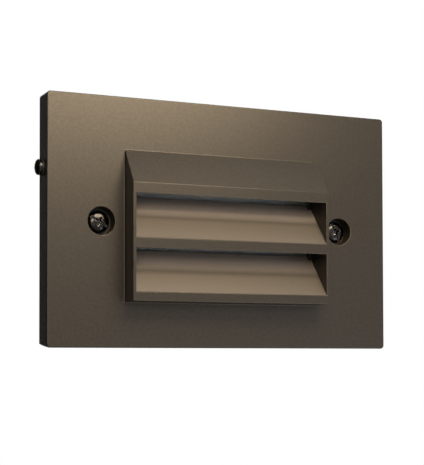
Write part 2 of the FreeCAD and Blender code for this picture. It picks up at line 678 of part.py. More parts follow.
def make_reflector_sheet():
    sheet = led_layer((SHEET_FRONT_Y, LED_BOARD_FRONT_Y), BOARD_SCREW_RADIUS + SCREW_CLEARANCE)
    through = SHEET_FRONT_Y - OVERCUT
    window = (LED_SIZE[0] + 2 * WINDOW_GAP, 2 * OVERCUT + SHEET_THICKNESS, LED_SIZE[2] + 2 * WINDOW_GAP)
    tools = [board_block(window, place, through) for place in led_places()]
    tools.append(
        block(
            (-CONNECTOR_WIDTH / 2 - WINDOW_GAP, CONNECTOR_WIDTH / 2 + WINDOW_GAP),
            (through, LED_BOARD_FRONT_Y + OVERCUT),
            (-LED_BOARD_HALF[1], CONNECTOR_TOP + WINDOW_GAP),
        )
    )
    return without(sheet, tools)


def make_led_chips():
    foot = LED_BOARD_FRONT_Y - LED_SIZE[1]
    return group([board_block(LED_SIZE, place, foot) for place in led_places()])


def make_led_connector():
    body = block(
        (-CONNECTOR_WIDTH / 2, CONNECTOR_WIDTH / 2),
        (LED_BOARD_FRONT_Y - CONNECTOR_RISE, LED_BOARD_FRONT_Y),
        (CONNECTOR_FOOT, CONNECTOR_TOP),
    )
    return body.makeChamfer(CONNECTOR_CHAMFER, edges_along(body, BACKWARD))


def make_led_board_screws():
    head = (BOARD_HEAD_RADIUS, BOARD_HEAD_BAND, BOARD_HEAD_DOME)
    screw = machine_screw(head, BOARD_SCREW_RADIUS, LED_SCREW_LENGTH)
    places = [point(x, SHEET_FRONT_Y, z) for x, z in four(LED_SCREW_X, LED_SCREW_Z)]
    return group([placed(screw, OUT_OF_WALL, place) for place in places])


# ---- Leads and their grommet ----------------------------------------------------------------
def bent_tube(points, radius):
    """A round lead along straight runs that tangent arcs join."""
    edges = []
    start = points[0]
    radii = []
    for before, corner, after in zip(points, points[1:], points[2:]):
        back = (before - corner).normalize()
        ahead = (after - corner).normalize()
        shorter = min((before - corner).Length, (after - corner).Length)
        reach = LEAD_RUN_SHARE * shorter
        turn = math.pi - back.getAngle(ahead)
        arc_radius = reach / math.tan(turn / 2)
        arc_start = corner + back * reach
        arc_end = corner + ahead * reach
        inward = (back + ahead).normalize()
        middle = corner + inward * (arc_radius / math.cos(turn / 2) - arc_radius)
        edges.append(Part.LineSegment(start, arc_start).toShape())
        edges.append(Part.Arc(arc_start, middle, arc_end).toShape())
        radii.append(round(arc_radius, 2))
        start = arc_end
    edges.append(Part.LineSegment(start, points[-1]).toShape())
    path = Part.Wire(edges)
    section = Part.Wire(Part.makeCircle(radius, points[0], points[1] - points[0]))
    tube = path.makePipeShell([section], True, False)
    ideal = math.pi * radius**2 * path.Length
    print("lead arc radii", radii, "volume over section times length", round(tube.Volume / ideal, 4))
    return tube


def make_led_lead(side):
    """A lead from the driver board, through the partition, up into the LED board's connector."""
    x = side * LEAD_SPACING / 2
    entry_y = LED_BOARD_FRONT_Y - CONNECTOR_RISE / 2
    route = [
        point(x, DRIVER_FRONT_Y, LEAD_HEIGHT),
        point(x, entry_y, LEAD_HEIGHT),
        point(x, entry_y, CONNECTOR_FOOT),
    ]
    return bent_tube(route, LEAD_RADIUS)


def make_lead_grommet():
    place = (0, LEAD_HEIGHT)
    front = (PARTITION_FRONT - GROMMET_LIP, PARTITION_FRONT)
    back = (PARTITION_BACK_Y, PARTITION_BACK_Y + GROMMET_LIP)
    body = fused(
        [
            rod(GROMMET_RADIUS, place, front),
            rod(GROMMET_NECK_RADIUS, place, (front[0], back[1])),
            rod(GROMMET_RADIUS, place, back),
        ]
    )
    through = (front[0] - OVERCUT, back[1] + OVERCUT)
    bores = [rod(LEAD_RADIUS + SNUG, (side * LEAD_SPACING / 2, LEAD_HEIGHT), through) for side in (-1, 1)]
    return without(body, bores)


# ---- Driver board ---------------------------------------------------------------------------
def make_driver_board():
    board = slab(DRIVER_HALF, (DRIVER_FRONT_Y, DRIVER_BACK_Y), CAVITY_CORNER)
    radius = DRIVER_SCREW_RADIUS + SCREW_CLEARANCE
    through = (DRIVER_FRONT_Y - OVERCUT, DRIVER_BACK_Y + OVERCUT)
    return without(board, [rod(radius, place, through) for place in four(STANDOFF_X, STANDOFF_Z)])


def make_driver_standoffs():
    pillar_y = (PARTITION_BACK_Y, DRIVER_FRONT_Y)
    stud_y = (PARTITION_BACK_Y - STANDOFF_STUD_LENGTH, PARTITION_BACK_Y)
    bore_y = (DRIVER_BACK_Y - DRIVER_SCREW_LENGTH - THREAD_END_GAP, DRIVER_FRONT_Y + OVERCUT)
    pieces = []
    for place in four(STANDOFF_X, STANDOFF_Z):
        pillar = rod(STANDOFF_RADIUS, place, pillar_y)
        stud = rod(STANDOFF_STUD_RADIUS, place, stud_y)
        bore = rod(DRIVER_SCREW_RADIUS + RUNNING_FIT, place, bore_y)
        pieces.append(fused([pillar, stud]).cut(bore))
    return group(pieces)


def make_driver_screws():
    head = (DRIVER_HEAD_RADIUS, DRIVER_HEAD_BAND, DRIVER_HEAD_DOME)
    screw = machine_screw(head, DRIVER_SCREW_RADIUS, DRIVER_SCREW_LENGTH)
    places = [point(x, DRIVER_BACK_Y, z) for x, z in four(STANDOFF_X, STANDOFF_Z)]
    return group([placed(screw, INTO_WALL, place) for place in places])


def make_transformer_core():
    core = board_block(CORE_SIZE, TRANSFORMER_CENTRE, DRIVER_BACK_Y + WINDING_OVERHANG)
    foot = DRIVER_BACK_Y + WINDING_OVERHANG
    window_y = (foot + CORE_YOKE, foot + CORE_SIZE[1] - CORE_YOKE)
    z = (TRANSFORMER_CENTRE[1] - CORE_SIZE[2], TRANSFORMER_CENTRE[1] + CORE_SIZE[2])
    inner = CORE_CENTRE_LEG / 2
    outer = CORE_SIZE[0] / 2 - CORE_LEG
    centre = TRANSFORMER_CENTRE[0]
    windows = [block((centre - outer, centre - inner), window_y, z)]
    windows.append(block((centre + inner, centre + outer), window_y, z))
    return without(core, windows)


def make_transformer_winding():
    """The bobbin with its windings round the core's middle leg, on its pin feet."""
    foot = DRIVER_BACK_Y + WINDING_OVERHANG
    y = (foot + CORE_YOKE + SNUG, foot + CORE_SIZE[1] - CORE_YOKE - SNUG)
    outer = CORE_SIZE[0] / 2 - CORE_LEG - SNUG
    inner = CORE_CENTRE_LEG / 2 + SNUG
    leg = CORE_SIZE[2] / 2 + SNUG
    reach = CORE_SIZE[2] / 2 + WINDING_OVERHANG
    coil = slab((outer, reach), y, CAVITY_CORNER, TRANSFORMER_CENTRE)
    coil = coil.cut(slab((inner, leg), (y[0] - OVERCUT, y[1] + OVERCUT), 0, TRANSFORMER_CENTRE))
    feet = []
    shelf = (CORE_SIZE[2] / 2 + SNUG, reach)
    for sz in (-1, 1):
        z = sorted((TRANSFORMER_CENTRE[1] + sz * shelf[0], TRANSFORMER_CENTRE[1] + sz * shelf[1]))
        feet.append(block((-outer, outer), (DRIVER_BACK_Y, y[0] + OVERCUT), z))
    return fused([coil] + feet)


def standing_can(radius, length, centre):
    """An electrolytic capacitor on end, with the rolled groove near its foot."""
    top = DRIVER_BACK_Y + length
    can = rod(radius, centre, (DRIVER_BACK_Y, top))
    can = can.makeFillet(CAP_BEAD, edges_at(can, top))
    groove_y = DRIVER_BACK_Y + CAP_GROOVE_HEIGHT
    groove = Part.makeTorus(radius, CAP_BEAD, point(centre[0], groove_y, centre[1]), BACKWARD)
    return can.cut(groove)


def on_legs(body, height, places):
    """A part that lies above the board on its wire legs, which end on the board."""
    legs = [rod(PIN_RADIUS, place, (DRIVER_BACK_Y, DRIVER_BACK_Y + height)) for place in places]
    return fused([body] + legs)


def lying_part(radius, length, centre):
    """A round part lying along X on two legs."""
    height = DRIVER_BACK_Y + LYING_GAP + radius
    x = (centre[0] - length / 2, centre[0] + length / 2)
    body = lying_rod(radius, x, height, centre[1])
    places = [(centre[0] + side * LEG_SHARE * length / 2, centre[1]) for side in (-1, 1)]
    return on_legs(body, LYING_GAP + radius, places)


def make_choke():
    foot = DRIVER_BACK_Y
    top = foot + CHOKE_LENGTH
    return fused(
        [
            rod(CHOKE_RADIUS, CHOKE_CENTRE, (foot, foot + CHOKE_FLANGE)),
            rod(CHOKE_WAIST, CHOKE_CENTRE, (foot, top)),
            rod(CHOKE_RADIUS, CHOKE_CENTRE, (top - CHOKE_FLANGE, top)),
        ]
    )


def make_varistor():
    x = (VARISTOR_CENTRE[0] - VARISTOR_THICKNESS / 2, VARISTOR_CENTRE[0] + VARISTOR_THICKNESS / 2)
    height = LYING_GAP + VARISTOR_RADIUS
    disc = lying_rod(VARISTOR_RADIUS, x, DRIVER_BACK_Y + height, VARISTOR_CENTRE[1])
    spread = LEG_SHARE * VARISTOR_RADIUS
    places = [(VARISTOR_CENTRE[0], VARISTOR_CENTRE[1] + side * spread) for side in (-1, 1)]
    return on_legs(disc, height, places)


def supply_places():
    return [(step * SUPPLY_PITCH, SUPPLY_HEIGHT) for step in (-1, 0, 1)]


def make_terminal_block():
    top = DRIVER_BACK_Y + TERMINAL_SIZE[1]
    body = board_block(TERMINAL_SIZE, (0, SUPPLY_HEIGHT), DRIVER_BACK_Y)
    tools = []
    for x, z in supply_places():
        tools.append(rod(TERMINAL_ENTRY_RADIUS, (x, z), (top - TERMINAL_ENTRY_DEPTH, top + OVERCUT)))
        well = (top - TERMINAL_SCREW_LENGTH - TERMINAL_SCREW_SINK, top + OVERCUT)
        place = (x, z - TERMINAL_SCREW_OFFSET)
        tools.append(rod(TERMINAL_SCREW_RADIUS + SNUG, place, well))
    return without(body, tools)


def make_terminal_screws():
    """Slotted clamp screws, one for each wire entry."""
    top = DRIVER_BACK_Y + TERMINAL_SIZE[1] - TERMINAL_SCREW_SINK
    slot = (2 * TERMINAL_SCREW_RADIUS + OVERCUT, TERMINAL_SCREW_SLOT + OVERCUT, TERMINAL_SCREW_SLOT)
    screws = []
    for x, z in supply_places():
        place = (x, z - TERMINAL_SCREW_OFFSET)
        screw = rod(TERMINAL_SCREW_RADIUS, place, (top - TERMINAL_SCREW_LENGTH, top))
        screws.append(screw.cut(board_block(slot, place, top - TERMINAL_SCREW_SLOT)))
    return group(screws)


# ---- Rear cover -----------------------------------------------------------------------------
def make_rear_gasket():
    """A ring on the housing's rim, with an eyelet on each corner boss."""
    y = (ENGINE_BACK, COVER_FRONT_Y)
    places = four(COVER_SCREW_X, COVER_SCREW_Z)
    eyelets = [rod(COVER_BOSS_RADIUS, place, y) for place in places]
    ring = fused([frame(ENGINE_HALF, CAVITY_HALF, y, ENGINE_CORNER)] + eyelets)
    through = (y[0] - OVERCUT, y[1] + OVERCUT)
    radius = BOARD_SCREW_RADIUS + SCREW_CLEARANCE
    return without(ring, [rod(radius, place, through) for place in places])


def supply_slab(grow, y):
    half = (SUPPLY_NECK[0] / 2 + grow, SUPPLY_NECK[1] / 2 + grow)
    return slab(half, y, CAVITY_CORNER + grow, (0, SUPPLY_HEIGHT))


def ground_bore_y():
    """The blind tapped hole for the ground screw, from its floor to past the cover's back."""
    return (COVER_BACK_Y - GROUND_SCREW_LENGTH - SNUG, COVER_BACK_Y + OVERCUT)


def make_rear_cover():
    plate = slab(ENGINE_HALF, (COVER_FRONT_Y, COVER_BACK_Y), ENGINE_CORNER)
    boss = rod(GROUND_BOSS_RADIUS, GROUND_SCREW_PLACE, (COVER_FRONT_Y - GROUND_BOSS_LENGTH, COVER_BACK_Y))
    through = (COVER_FRONT_Y - OVERCUT, COVER_BACK_Y + OVERCUT)
    radius = BOARD_SCREW_RADIUS + SCREW_CLEARANCE
    tools = [rod(radius, place, through) for place in four(COVER_SCREW_X, COVER_SCREW_Z)]
    tools.append(supply_slab(0, through))
    tools.append(rod(GROUND_THREAD_RADIUS + RUNNING_FIT, GROUND_SCREW_PLACE, ground_bore_y()))
    return without(fused([plate, boss]), tools)


def make_cover_screws():
    head = (BOARD_HEAD_RADIUS, BOARD_HEAD_BAND, BOARD_HEAD_DOME)
    screw = machine_screw(head, BOARD_SCREW_RADIUS, COVER_SCREW_LENGTH)
    places = [point(x, COVER_BACK_Y, z) for x, z in four(COVER_SCREW_X, COVER_SCREW_Z)]
    return group([placed(screw, INTO_WALL, place) for place in places])


def make_insulating_sheet():
    y = (COVER_FRONT_Y - INSULATOR_THICKNESS, COVER_FRONT_Y)
    through = (y[0] - OVERCUT, y[1] + OVERCUT)
    sheet = slab(DRIVER_HALF, y, CAVITY_CORNER)
    boss_hole = rod(GROUND_BOSS_RADIUS + SEAT_GAP, GROUND_SCREW_PLACE, through)
    return without(sheet, [supply_slab(SUPPLY_LIP + SEAT_GAP, through), boss_hole])


def make_supply_grommet():
    inner = (COVER_FRONT_Y - SUPPLY_LIP, COVER_FRONT_Y)
    outer = (COVER_BACK_Y, COVER_BACK_Y + SUPPLY_LIP)
    nose = (outer[0], outer[1] + SUPPLY_NOSE)
    body = fused(
        [
            supply_slab(SUPPLY_LIP, inner),
            supply_slab(-SNUG, (inner[0], outer[1])),
            supply_slab(SUPPLY_LIP, outer),
            supply_slab(-SNUG, nose),
        ]
    )
    through = (inner[0] - OVERCUT, nose[1] + OVERCUT)
    return without(body, [rod(SUPPLY_BORE_RADIUS, place, through) for place in supply_places()])


def make_ground_screw():
    """A slotted hex head with its own flange, on the cover's back."""
    corner_radius = GROUND_HEX_ACROSS / math.sqrt(3)
    angles = [math.tau * step / 6 for step in range(7)]
    corners = [point(corner_radius * math.cos(a), corner_radius * math.sin(a), 0) for a in angles]
    head = Part.Face(Part.makePolygon(corners)).extrude(point(0, 0, GROUND_HEX_HEIGHT))
    slot = Part.makeBox(
        2 * GROUND_FLANGE_RADIUS,
        GROUND_SLOT,
        GROUND_SLOT + OVERCUT,
        point(-GROUND_FLANGE_RADIUS, -GROUND_SLOT / 2, GROUND_HEX_HEIGHT - GROUND_SLOT),
    )
    flange = Part.makeCylinder(GROUND_FLANGE_RADIUS, GROUND_FLANGE_THICKNESS)
    shank = Part.makeCylinder(GROUND_THREAD_RADIUS, GROUND_SCREW_LENGTH)
    shank.translate(point(0, 0, -GROUND_SCREW_LENGTH))
    screw = fused([head.cut(slot), flange, shank])
    return placed(screw, INTO_WALL, point(GROUND_SCREW_PLACE[0], COVER_BACK_Y, GROUND_SCREW_PLACE[1]))


# ---- All the pieces -------------------------------------------------------------------------
def all_pieces():
    return {
        "faceplate": make_faceplate(),
        "wall_gasket": make_wall_gasket(),
        "engine_housing": make_engine_housing(),
        "lens_retainer": make_lens_retainer(),
        "lens": make_lens(),
        "lens_gasket": make_lens_gasket(),
        "reflector_sheet": make_reflector_sheet(),
        "led_board": make_led_board(),
        "led_chips": make_led_chips(),
        "led_connector": make_led_connector(),
        "led_board_screws": make_led_board_screws(),
        "thermal_pad": make_thermal_pad(),
        "led_lead_red": make_led_lead(1),
        "led_lead_black": make_led_lead(-1),
        "lead_grommet": make_lead_grommet(),
        "driver_board": make_driver_board(),
        "driver_standoffs": make_driver_standoffs(),
        "driver_screws": make_driver_screws(),
        "transformer_core": make_transformer_core(),
        "transformer_winding": make_transformer_winding(),
        "bulk_capacitor": lying_part(BULK_CAP_RADIUS, BULK_CAP_LENGTH, BULK_CAP_CENTRE),
        "output_capacitor": standing_can(OUTPUT_CAP_RADIUS, OUTPUT_CAP_LENGTH, OUTPUT_CAP_CENTRE),
        "film_capacitor": board_block(FILM_CAP_SIZE, FILM_CAP_CENTRE, DRIVER_BACK_Y),
        "bridge_rectifier": board_block(RECTIFIER_SIZE, RECTIFIER_CENTRE, DRIVER_BACK_Y),
        "driver_chip": board_block(CHIP_SIZE, CHIP_CENTRE, DRIVER_BACK_Y),
        "choke": make_choke(),
        "output_diode": lying_part(DIODE_RADIUS, DIODE_LENGTH, DIODE_CENTRE),
        "fuse": lying_part(FUSE_RADIUS, FUSE_LENGTH, FUSE_CENTRE),
        "varistor": make_varistor(),
        "terminal_block": make_terminal_block(),
        "terminal_screws": make_terminal_screws(),
        "insulating_sheet": make_insulating_sheet(),
        "rear_gasket": make_rear_gasket(),
        "rear_cover": make_rear_cover(),
        "cover_screws": make_cover_screws(),
        "supply_grommet": make_supply_grommet(),
        "ground_screw": make_ground_screw(),
        "face_screw_left": make_face_screw(-1),
        "face_screw_right": make_face_screw(1),
        "face_screw_washer_left": make_face_washer(-1),
        "face_screw_washer_right": make_face_washer(1),
        "side_screw": make_side_screw(),
        "side_screw_washer": make_side_washer(),
    }


def main():
    os.makedirs("parts", exist_ok=True)
    for name, shape in all_pieces().items():
        if not shape.isValid():
            raise ValueError(f"{name} isn't a valid shape")
        print(f"{name}: {len(shape.Solids)} solid(s), {shape.Volume:.1f} mm3")
        shape.exportStep(f"parts/{name}.step")


main()
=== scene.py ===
"""Looks of a louvred bronze step light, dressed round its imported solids.

Every length in the dataclass fields is in millimetres, in the frame of the solids: X to the
right, Y into the wall with the wall plane at 0, Z up. The face screws and the side screw are
modelled here with real threads and a turned drive recess; every other solid keeps its shape and
gets its finish.

Two things here are fitted to the photograph and are no facts of the object. The studio lights the
front faces at 1.2 to 2.3 times the level at which a colour renders as written, so the bronze is
written darker than it should be. The paler film on the louvres cancels the shadow that the hood's
lip throws in this studio.
"""

import logging
import math
from dataclasses import dataclass
from enum import Enum

import bpy
from mathutils import Matrix, Vector


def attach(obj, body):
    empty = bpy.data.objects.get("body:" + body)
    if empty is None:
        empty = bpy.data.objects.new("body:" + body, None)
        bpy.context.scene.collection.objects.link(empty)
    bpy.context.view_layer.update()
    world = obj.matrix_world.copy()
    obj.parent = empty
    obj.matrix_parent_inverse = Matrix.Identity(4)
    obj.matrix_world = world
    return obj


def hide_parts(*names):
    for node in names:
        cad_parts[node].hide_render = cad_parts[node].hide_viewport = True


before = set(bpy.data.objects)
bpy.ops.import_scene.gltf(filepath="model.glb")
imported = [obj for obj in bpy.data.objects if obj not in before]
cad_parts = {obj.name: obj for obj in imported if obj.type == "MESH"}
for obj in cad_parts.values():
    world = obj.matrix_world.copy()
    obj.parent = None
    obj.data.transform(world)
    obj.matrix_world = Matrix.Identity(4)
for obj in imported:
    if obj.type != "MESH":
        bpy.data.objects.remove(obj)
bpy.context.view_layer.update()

LOG = logging.getLogger("step_light")
MM = 0.001
IMAGE_HEIGHT = 465
SENSOR_MM = 36.0
WELD_MM = 0.002
SMOOTH_DEGREES = 32
MOTTLE_LIMITS = (0.36, 0.64)
GLOSS_LIMITS = (0.33, 0.67)
WEAR_AND_GLINT_COSINES = (0.985, 0.80)
BROAD_BUMP = 3.2
BROAD_SHARE = 0.35
SCATTER_DEPTH = 0.002

Colour = tuple[float, float, float, float]
Point = tuple[float, float, float]
Span = tuple[float, float]


# ---- Colour and nodes -----------------------------------------------------------------------
def linear(hex_colour: str) -> Colour:
    """Turns an sRGB hex colour into the linear values that Blender's sockets take.

    Args:
        hex_colour: Colour as "#rrggbb".

    Returns:
        Red, green, blue and an alpha of 1.
    """
    values = []
    for start in (1, 3, 5):
        share = int(hex_colour[start:start + 2], 16) / 255
        if share <= 0.04045:
            values.append(share / 12.92)
        else:
            values.append(((share + 0.055) / 1.055) ** 2.4)
    return (values[0], values[1], values[2], 1.0)


def add_node(
    tree: bpy.types.NodeTree,
    kind: str,
    settings: dict[str, object] | None = None,
    inputs: dict[str | int, object] | None = None,
) -> bpy.types.Node:
    """Adds one node, sets it and links it.

    Args:
        tree: Node tree that gets the node.
        kind: Blender's name of the node type.
        settings: Properties of the node by name.
        inputs: Input sockets by name or index, each with a value or the socket that feeds it.

    Returns:
        The new node.
    """
    node = tree.nodes.new(kind)
    for name, value in (settings or {}).items():
        setattr(node, name, value)
    for key, value in (inputs or {}).items():
        if isinstance(value, bpy.types.NodeSocket):
            tree.links.new(value, node.inputs[key])
        else:
            node.inputs[key].default_value = value
    return node


class Relief(Enum):
    """How a finish's surface is broken up."""

    PEBBLE = "rounded bumps of two sizes"
    CELLS = "closed cells"
    WEAVE = "threads that cross"
    TURNED = "fine rings left by a tool or a roller"
    WRAPPED = "turns of tape that overlap"


@dataclass(frozen=True)
class Finish:
    """A real material and the way its surface was made.

    Args:
        name: Common name of the material.
        low: Darkest shade of its mottling, sRGB.
        high: Lightest shade of its mottling, sRGB.
        roughness: Lowest and highest roughness over the surface.
        relief: Pattern of the surface.
        relief_mm: Width of one bump, cell, thread or ring.
        height_mm: Height of the relief.
        metallic: Share of the surface that is bare metal.
        mottle_mm: Width of a patch of one shade.
        edge_wear_and_glint: Shade of scuffed edges, sRGB; on black nickel also a painted highlight.
        edge_wear_and_glint_share: How far the edges turn to that shade.
        edge_mm: Radius over which an edge takes that shade and is rounded.
        ior: Index of refraction, for what isn't metal.
        coat: Weight of a clear layer on top.
        coat_roughness: Roughness of that layer.
        sheen: Weight of the dusty sheen at grazing angles.
        inner_glow: Share of the light that scatters below the surface.
        passes: Share of the light that goes through.
    """

    name: str
    low: str
    high: str
    roughness: Span
    relief: Relief
    relief_mm: float
    height_mm: float
    metallic: float = 0.0
    mottle_mm: float = 7.0
    edge_wear_and_glint: str = "#b0b0ac"
    edge_wear_and_glint_share: float = 0.35
    edge_mm: float = 0.2
    ior: float = 1.5
    coat: float = 0.0
    coat_roughness: float = 0.1
    sheen: float = 0.0
    inner_glow: float = 0.0
    passes: float = 0.0

    def noise(self, tree: bpy.types.NodeTree, place: bpy.types.NodeSocket,
              width_mm: float, detail: float) -> bpy.types.NodeSocket:
        """Adds a noise whose patches are as wide as asked.

        Args:
            tree: Node tree of the material.
            place: Socket with the coordinates in metres.
            width_mm: Width of one patch.
            detail: Number of finer layers.

        Returns:
            The noise's value, about 0.3 to 0.7.
        """
        inputs = {"Vector": place, "Scale": 1 / (width_mm * MM), "Detail": detail,
                  "Roughness": 0.55}
        return add_node(tree, "ShaderNodeTexNoise", {}, inputs).outputs["Fac"]

    def bands(self, tree: bpy.types.NodeTree, place: bpy.types.NodeSocket, direction: str,
              profile: str, bend: float) -> bpy.types.NodeSocket:
        """Adds straight bands, one to each width of the relief.

        Args:
            tree: Node tree of the material.
            place: Socket with the coordinates in metres.
            direction: Axis that the bands follow one another along.
            profile: Section of a band.
            bend: How much the bands waver.

        Returns:
            The bands' height, 0 to 1.
        """
        scale = math.pi / (10 * self.relief_mm * MM)
        settings = {"bands_direction": direction, "wave_profile": profile}
        inputs = {"Vector": place, "Scale": scale, "Distortion": bend, "Detail": 1.0,
                  "Detail Scale": 0.4}
        return add_node(tree, "ShaderNodeTexWave", settings, inputs).outputs["Fac"]

    def surface(self, tree: bpy.types.NodeTree,
                place: bpy.types.NodeSocket) -> bpy.types.NodeSocket:
        """Adds the relief's pattern.

        Args:
            tree: Node tree of the material.
            place: Socket with the coordinates in metres.

        Returns:
            The height of the surface, 0 to 1.
        """
        if self.relief is Relief.CELLS:
            inputs = {"Vector": place, "Scale": 1 / (self.relief_mm * MM)}
            return add_node(tree, "ShaderNodeTexVoronoi", {}, inputs).outputs["Distance"]
        if self.relief is Relief.WEAVE:
            along = self.bands(tree, place, "X", "SIN", 0.2)
            across = self.bands(tree, place, "Z", "SIN", 0.2)
            inputs = {0: along, 1: across}
            return add_node(tree, "ShaderNodeMath", {"operation": "MAXIMUM"}, inputs).outputs[0]
        if self.relief is Relief.TURNED:
            return self.bands(tree, place, "DIAGONAL", "SIN", 6.0)
        if self.relief is Relief.WRAPPED:
            return self.bands(tree, place, "Y", "SAW", 0.1)
        fine = self.noise(tree, place, self.relief_mm, 1.0)
        broad = self.noise(tree, place, BROAD_BUMP * self.relief_mm, 1.0)
        inputs = {0: BROAD_SHARE, 2: fine, 3: broad}
        return add_node(tree, "ShaderNodeMix", {"data_type": "FLOAT"}, inputs).outputs[0]

    def edges(self, tree: bpy.types.NodeTree) -> tuple[bpy.types.NodeSocket, bpy.types.NodeSocket]:
        """Finds the edges that take the edge shade: scuffed edges, and on black nickel a painted
        highlight.

        Args:
            tree: Node tree of the material.

        Returns:
            The share of the edge shade at each point, and the normal with its edges rounded.
        """
        round_off = add_node(tree, "ShaderNodeBevel", {"samples": 6}, {"Radius": self.edge_mm * MM})
        flat = add_node(tree, "ShaderNodeNewGeometry").outputs["Normal"]
        inputs = {0: round_off.outputs[0], 1: flat}
        settings = {"operation": "DOT_PRODUCT"}
        turned = add_node(tree, "ShaderNodeVectorMath", settings, inputs).outputs["Value"]
        limits = {0: turned, 1: WEAR_AND_GLINT_COSINES[0], 2: WEAR_AND_GLINT_COSINES[1], 3: 0.0, 4: self.edge_wear_and_glint_share}
        share = add_node(tree, "ShaderNodeMapRange", {"clamp": True}, limits).outputs[0]
        return share, round_off.outputs[0]

    def painted_light_share(self, tree: bpy.types.NodeTree) -> bpy.types.NodeSocket | None:
        """Says where light is painted on the surface; a plain finish has none."""
        return None

    def metal_share(self, tree: bpy.types.NodeTree,
                    where: bpy.types.NodeSocket | None) -> bpy.types.NodeSocket | float:
        """Gives the share of bare metal, with the differing places taken in."""
        return self.metallic

    def relief_height(self, tree: bpy.types.NodeTree,
                      where: bpy.types.NodeSocket | None) -> bpy.types.NodeSocket | float:
        """Gives the relief's height in metres, with the differing places taken in."""
        return self.height_mm * MM

    def shade(self, tree: bpy.types.NodeTree, place: bpy.types.NodeSocket,
              where: bpy.types.NodeSocket | None) -> bpy.types.NodeSocket:
        """Mottles the colour between the finish's two shades.

        Args:
            tree: Node tree of the material.
            place: Socket with the coordinates in metres.
            where: Share of the painted light at each point; not used here.

        Returns:
            The colour.
        """
        patches = self.noise(tree, place, self.mottle_mm, 4.0)
        limits = {0: patches, 1: MOTTLE_LIMITS[0], 2: MOTTLE_LIMITS[1]}
        share = add_node(tree, "ShaderNodeMapRange", {}, limits).outputs[0]
        shades = {0: share, 6: linear(self.low), 7: linear(self.high)}
        return add_node(tree, "ShaderNodeMix", {"data_type": "RGBA"}, shades).outputs[2]

    def gloss(self, tree: bpy.types.NodeTree, place: bpy.types.NodeSocket,
              where: bpy.types.NodeSocket | None) -> bpy.types.NodeSocket:
        """Varies the roughness between its two limits.

        Args:
            tree: Node tree of the material.
            place: Socket with the coordinates in metres.
            where: Share of the painted light at each point; not used here.

        Returns:
            The roughness.
        """
        patches = self.noise(tree, place, 0.6 * self.mottle_mm, 3.0)
        limits = {0: patches, 1: GLOSS_LIMITS[0], 2: GLOSS_LIMITS[1],
                  3: self.roughness[0], 4: self.roughness[1]}
        return add_node(tree, "ShaderNodeMapRange", {}, limits).outputs[0]

    def material(self) -> bpy.types.Material:
        """Makes the material, once for each finish.

        Returns:
            Blender's material of this finish.
        """
        found = bpy.data.materials.get(self.name)
        if found is not None and found.get("finished"):
            return found
        material = bpy.data.materials.new(self.name)
        material["finished"] = True
        material.use_nodes = True
        tree = material.node_tree
        tree.nodes.clear()
        place = add_node(tree, "ShaderNodeTexCoord").outputs["Object"]
        # Painted light: the share of the paler shade that fills the lip's shadow on the louvres.
        where = self.painted_light_share(tree)
        # Edge shade: scuffed edges, and on black nickel a painted highlight along the head's edges.
        wear_and_glint, rounded = self.edges(tree)
        wear_and_glint_mix = {0: wear_and_glint, 6: self.shade(tree, place, where), 7: linear(self.edge_wear_and_glint)}
        colour = add_node(tree, "ShaderNodeMix", {"data_type": "RGBA"}, wear_and_glint_mix).outputs[2]
        relief = {"Height": self.surface(tree, place), "Distance": self.relief_height(tree, where),
                  "Strength": 1.0, "Normal": rounded}
        normal = add_node(tree, "ShaderNodeBump", {}, relief).outputs[0]
        shader = add_node(tree, "ShaderNodeBsdfPrincipled", {}, {
            "Base Color": colour,
            "Roughness": self.gloss(tree, place, where),
            "Normal": normal,
            "Metallic": self.metal_share(tree, where),
            "IOR": self.ior,
            "Coat Weight": self.coat,
            "Coat Roughness": self.coat_roughness,
            "Sheen Weight": self.sheen,
            "Subsurface Weight": self.inner_glow,
            "Subsurface Scale": SCATTER_DEPTH,
            "Transmission Weight": self.passes,
        })
        add_node(tree, "ShaderNodeOutputMaterial", {}, {"Surface": shader.outputs[0]})
        return material


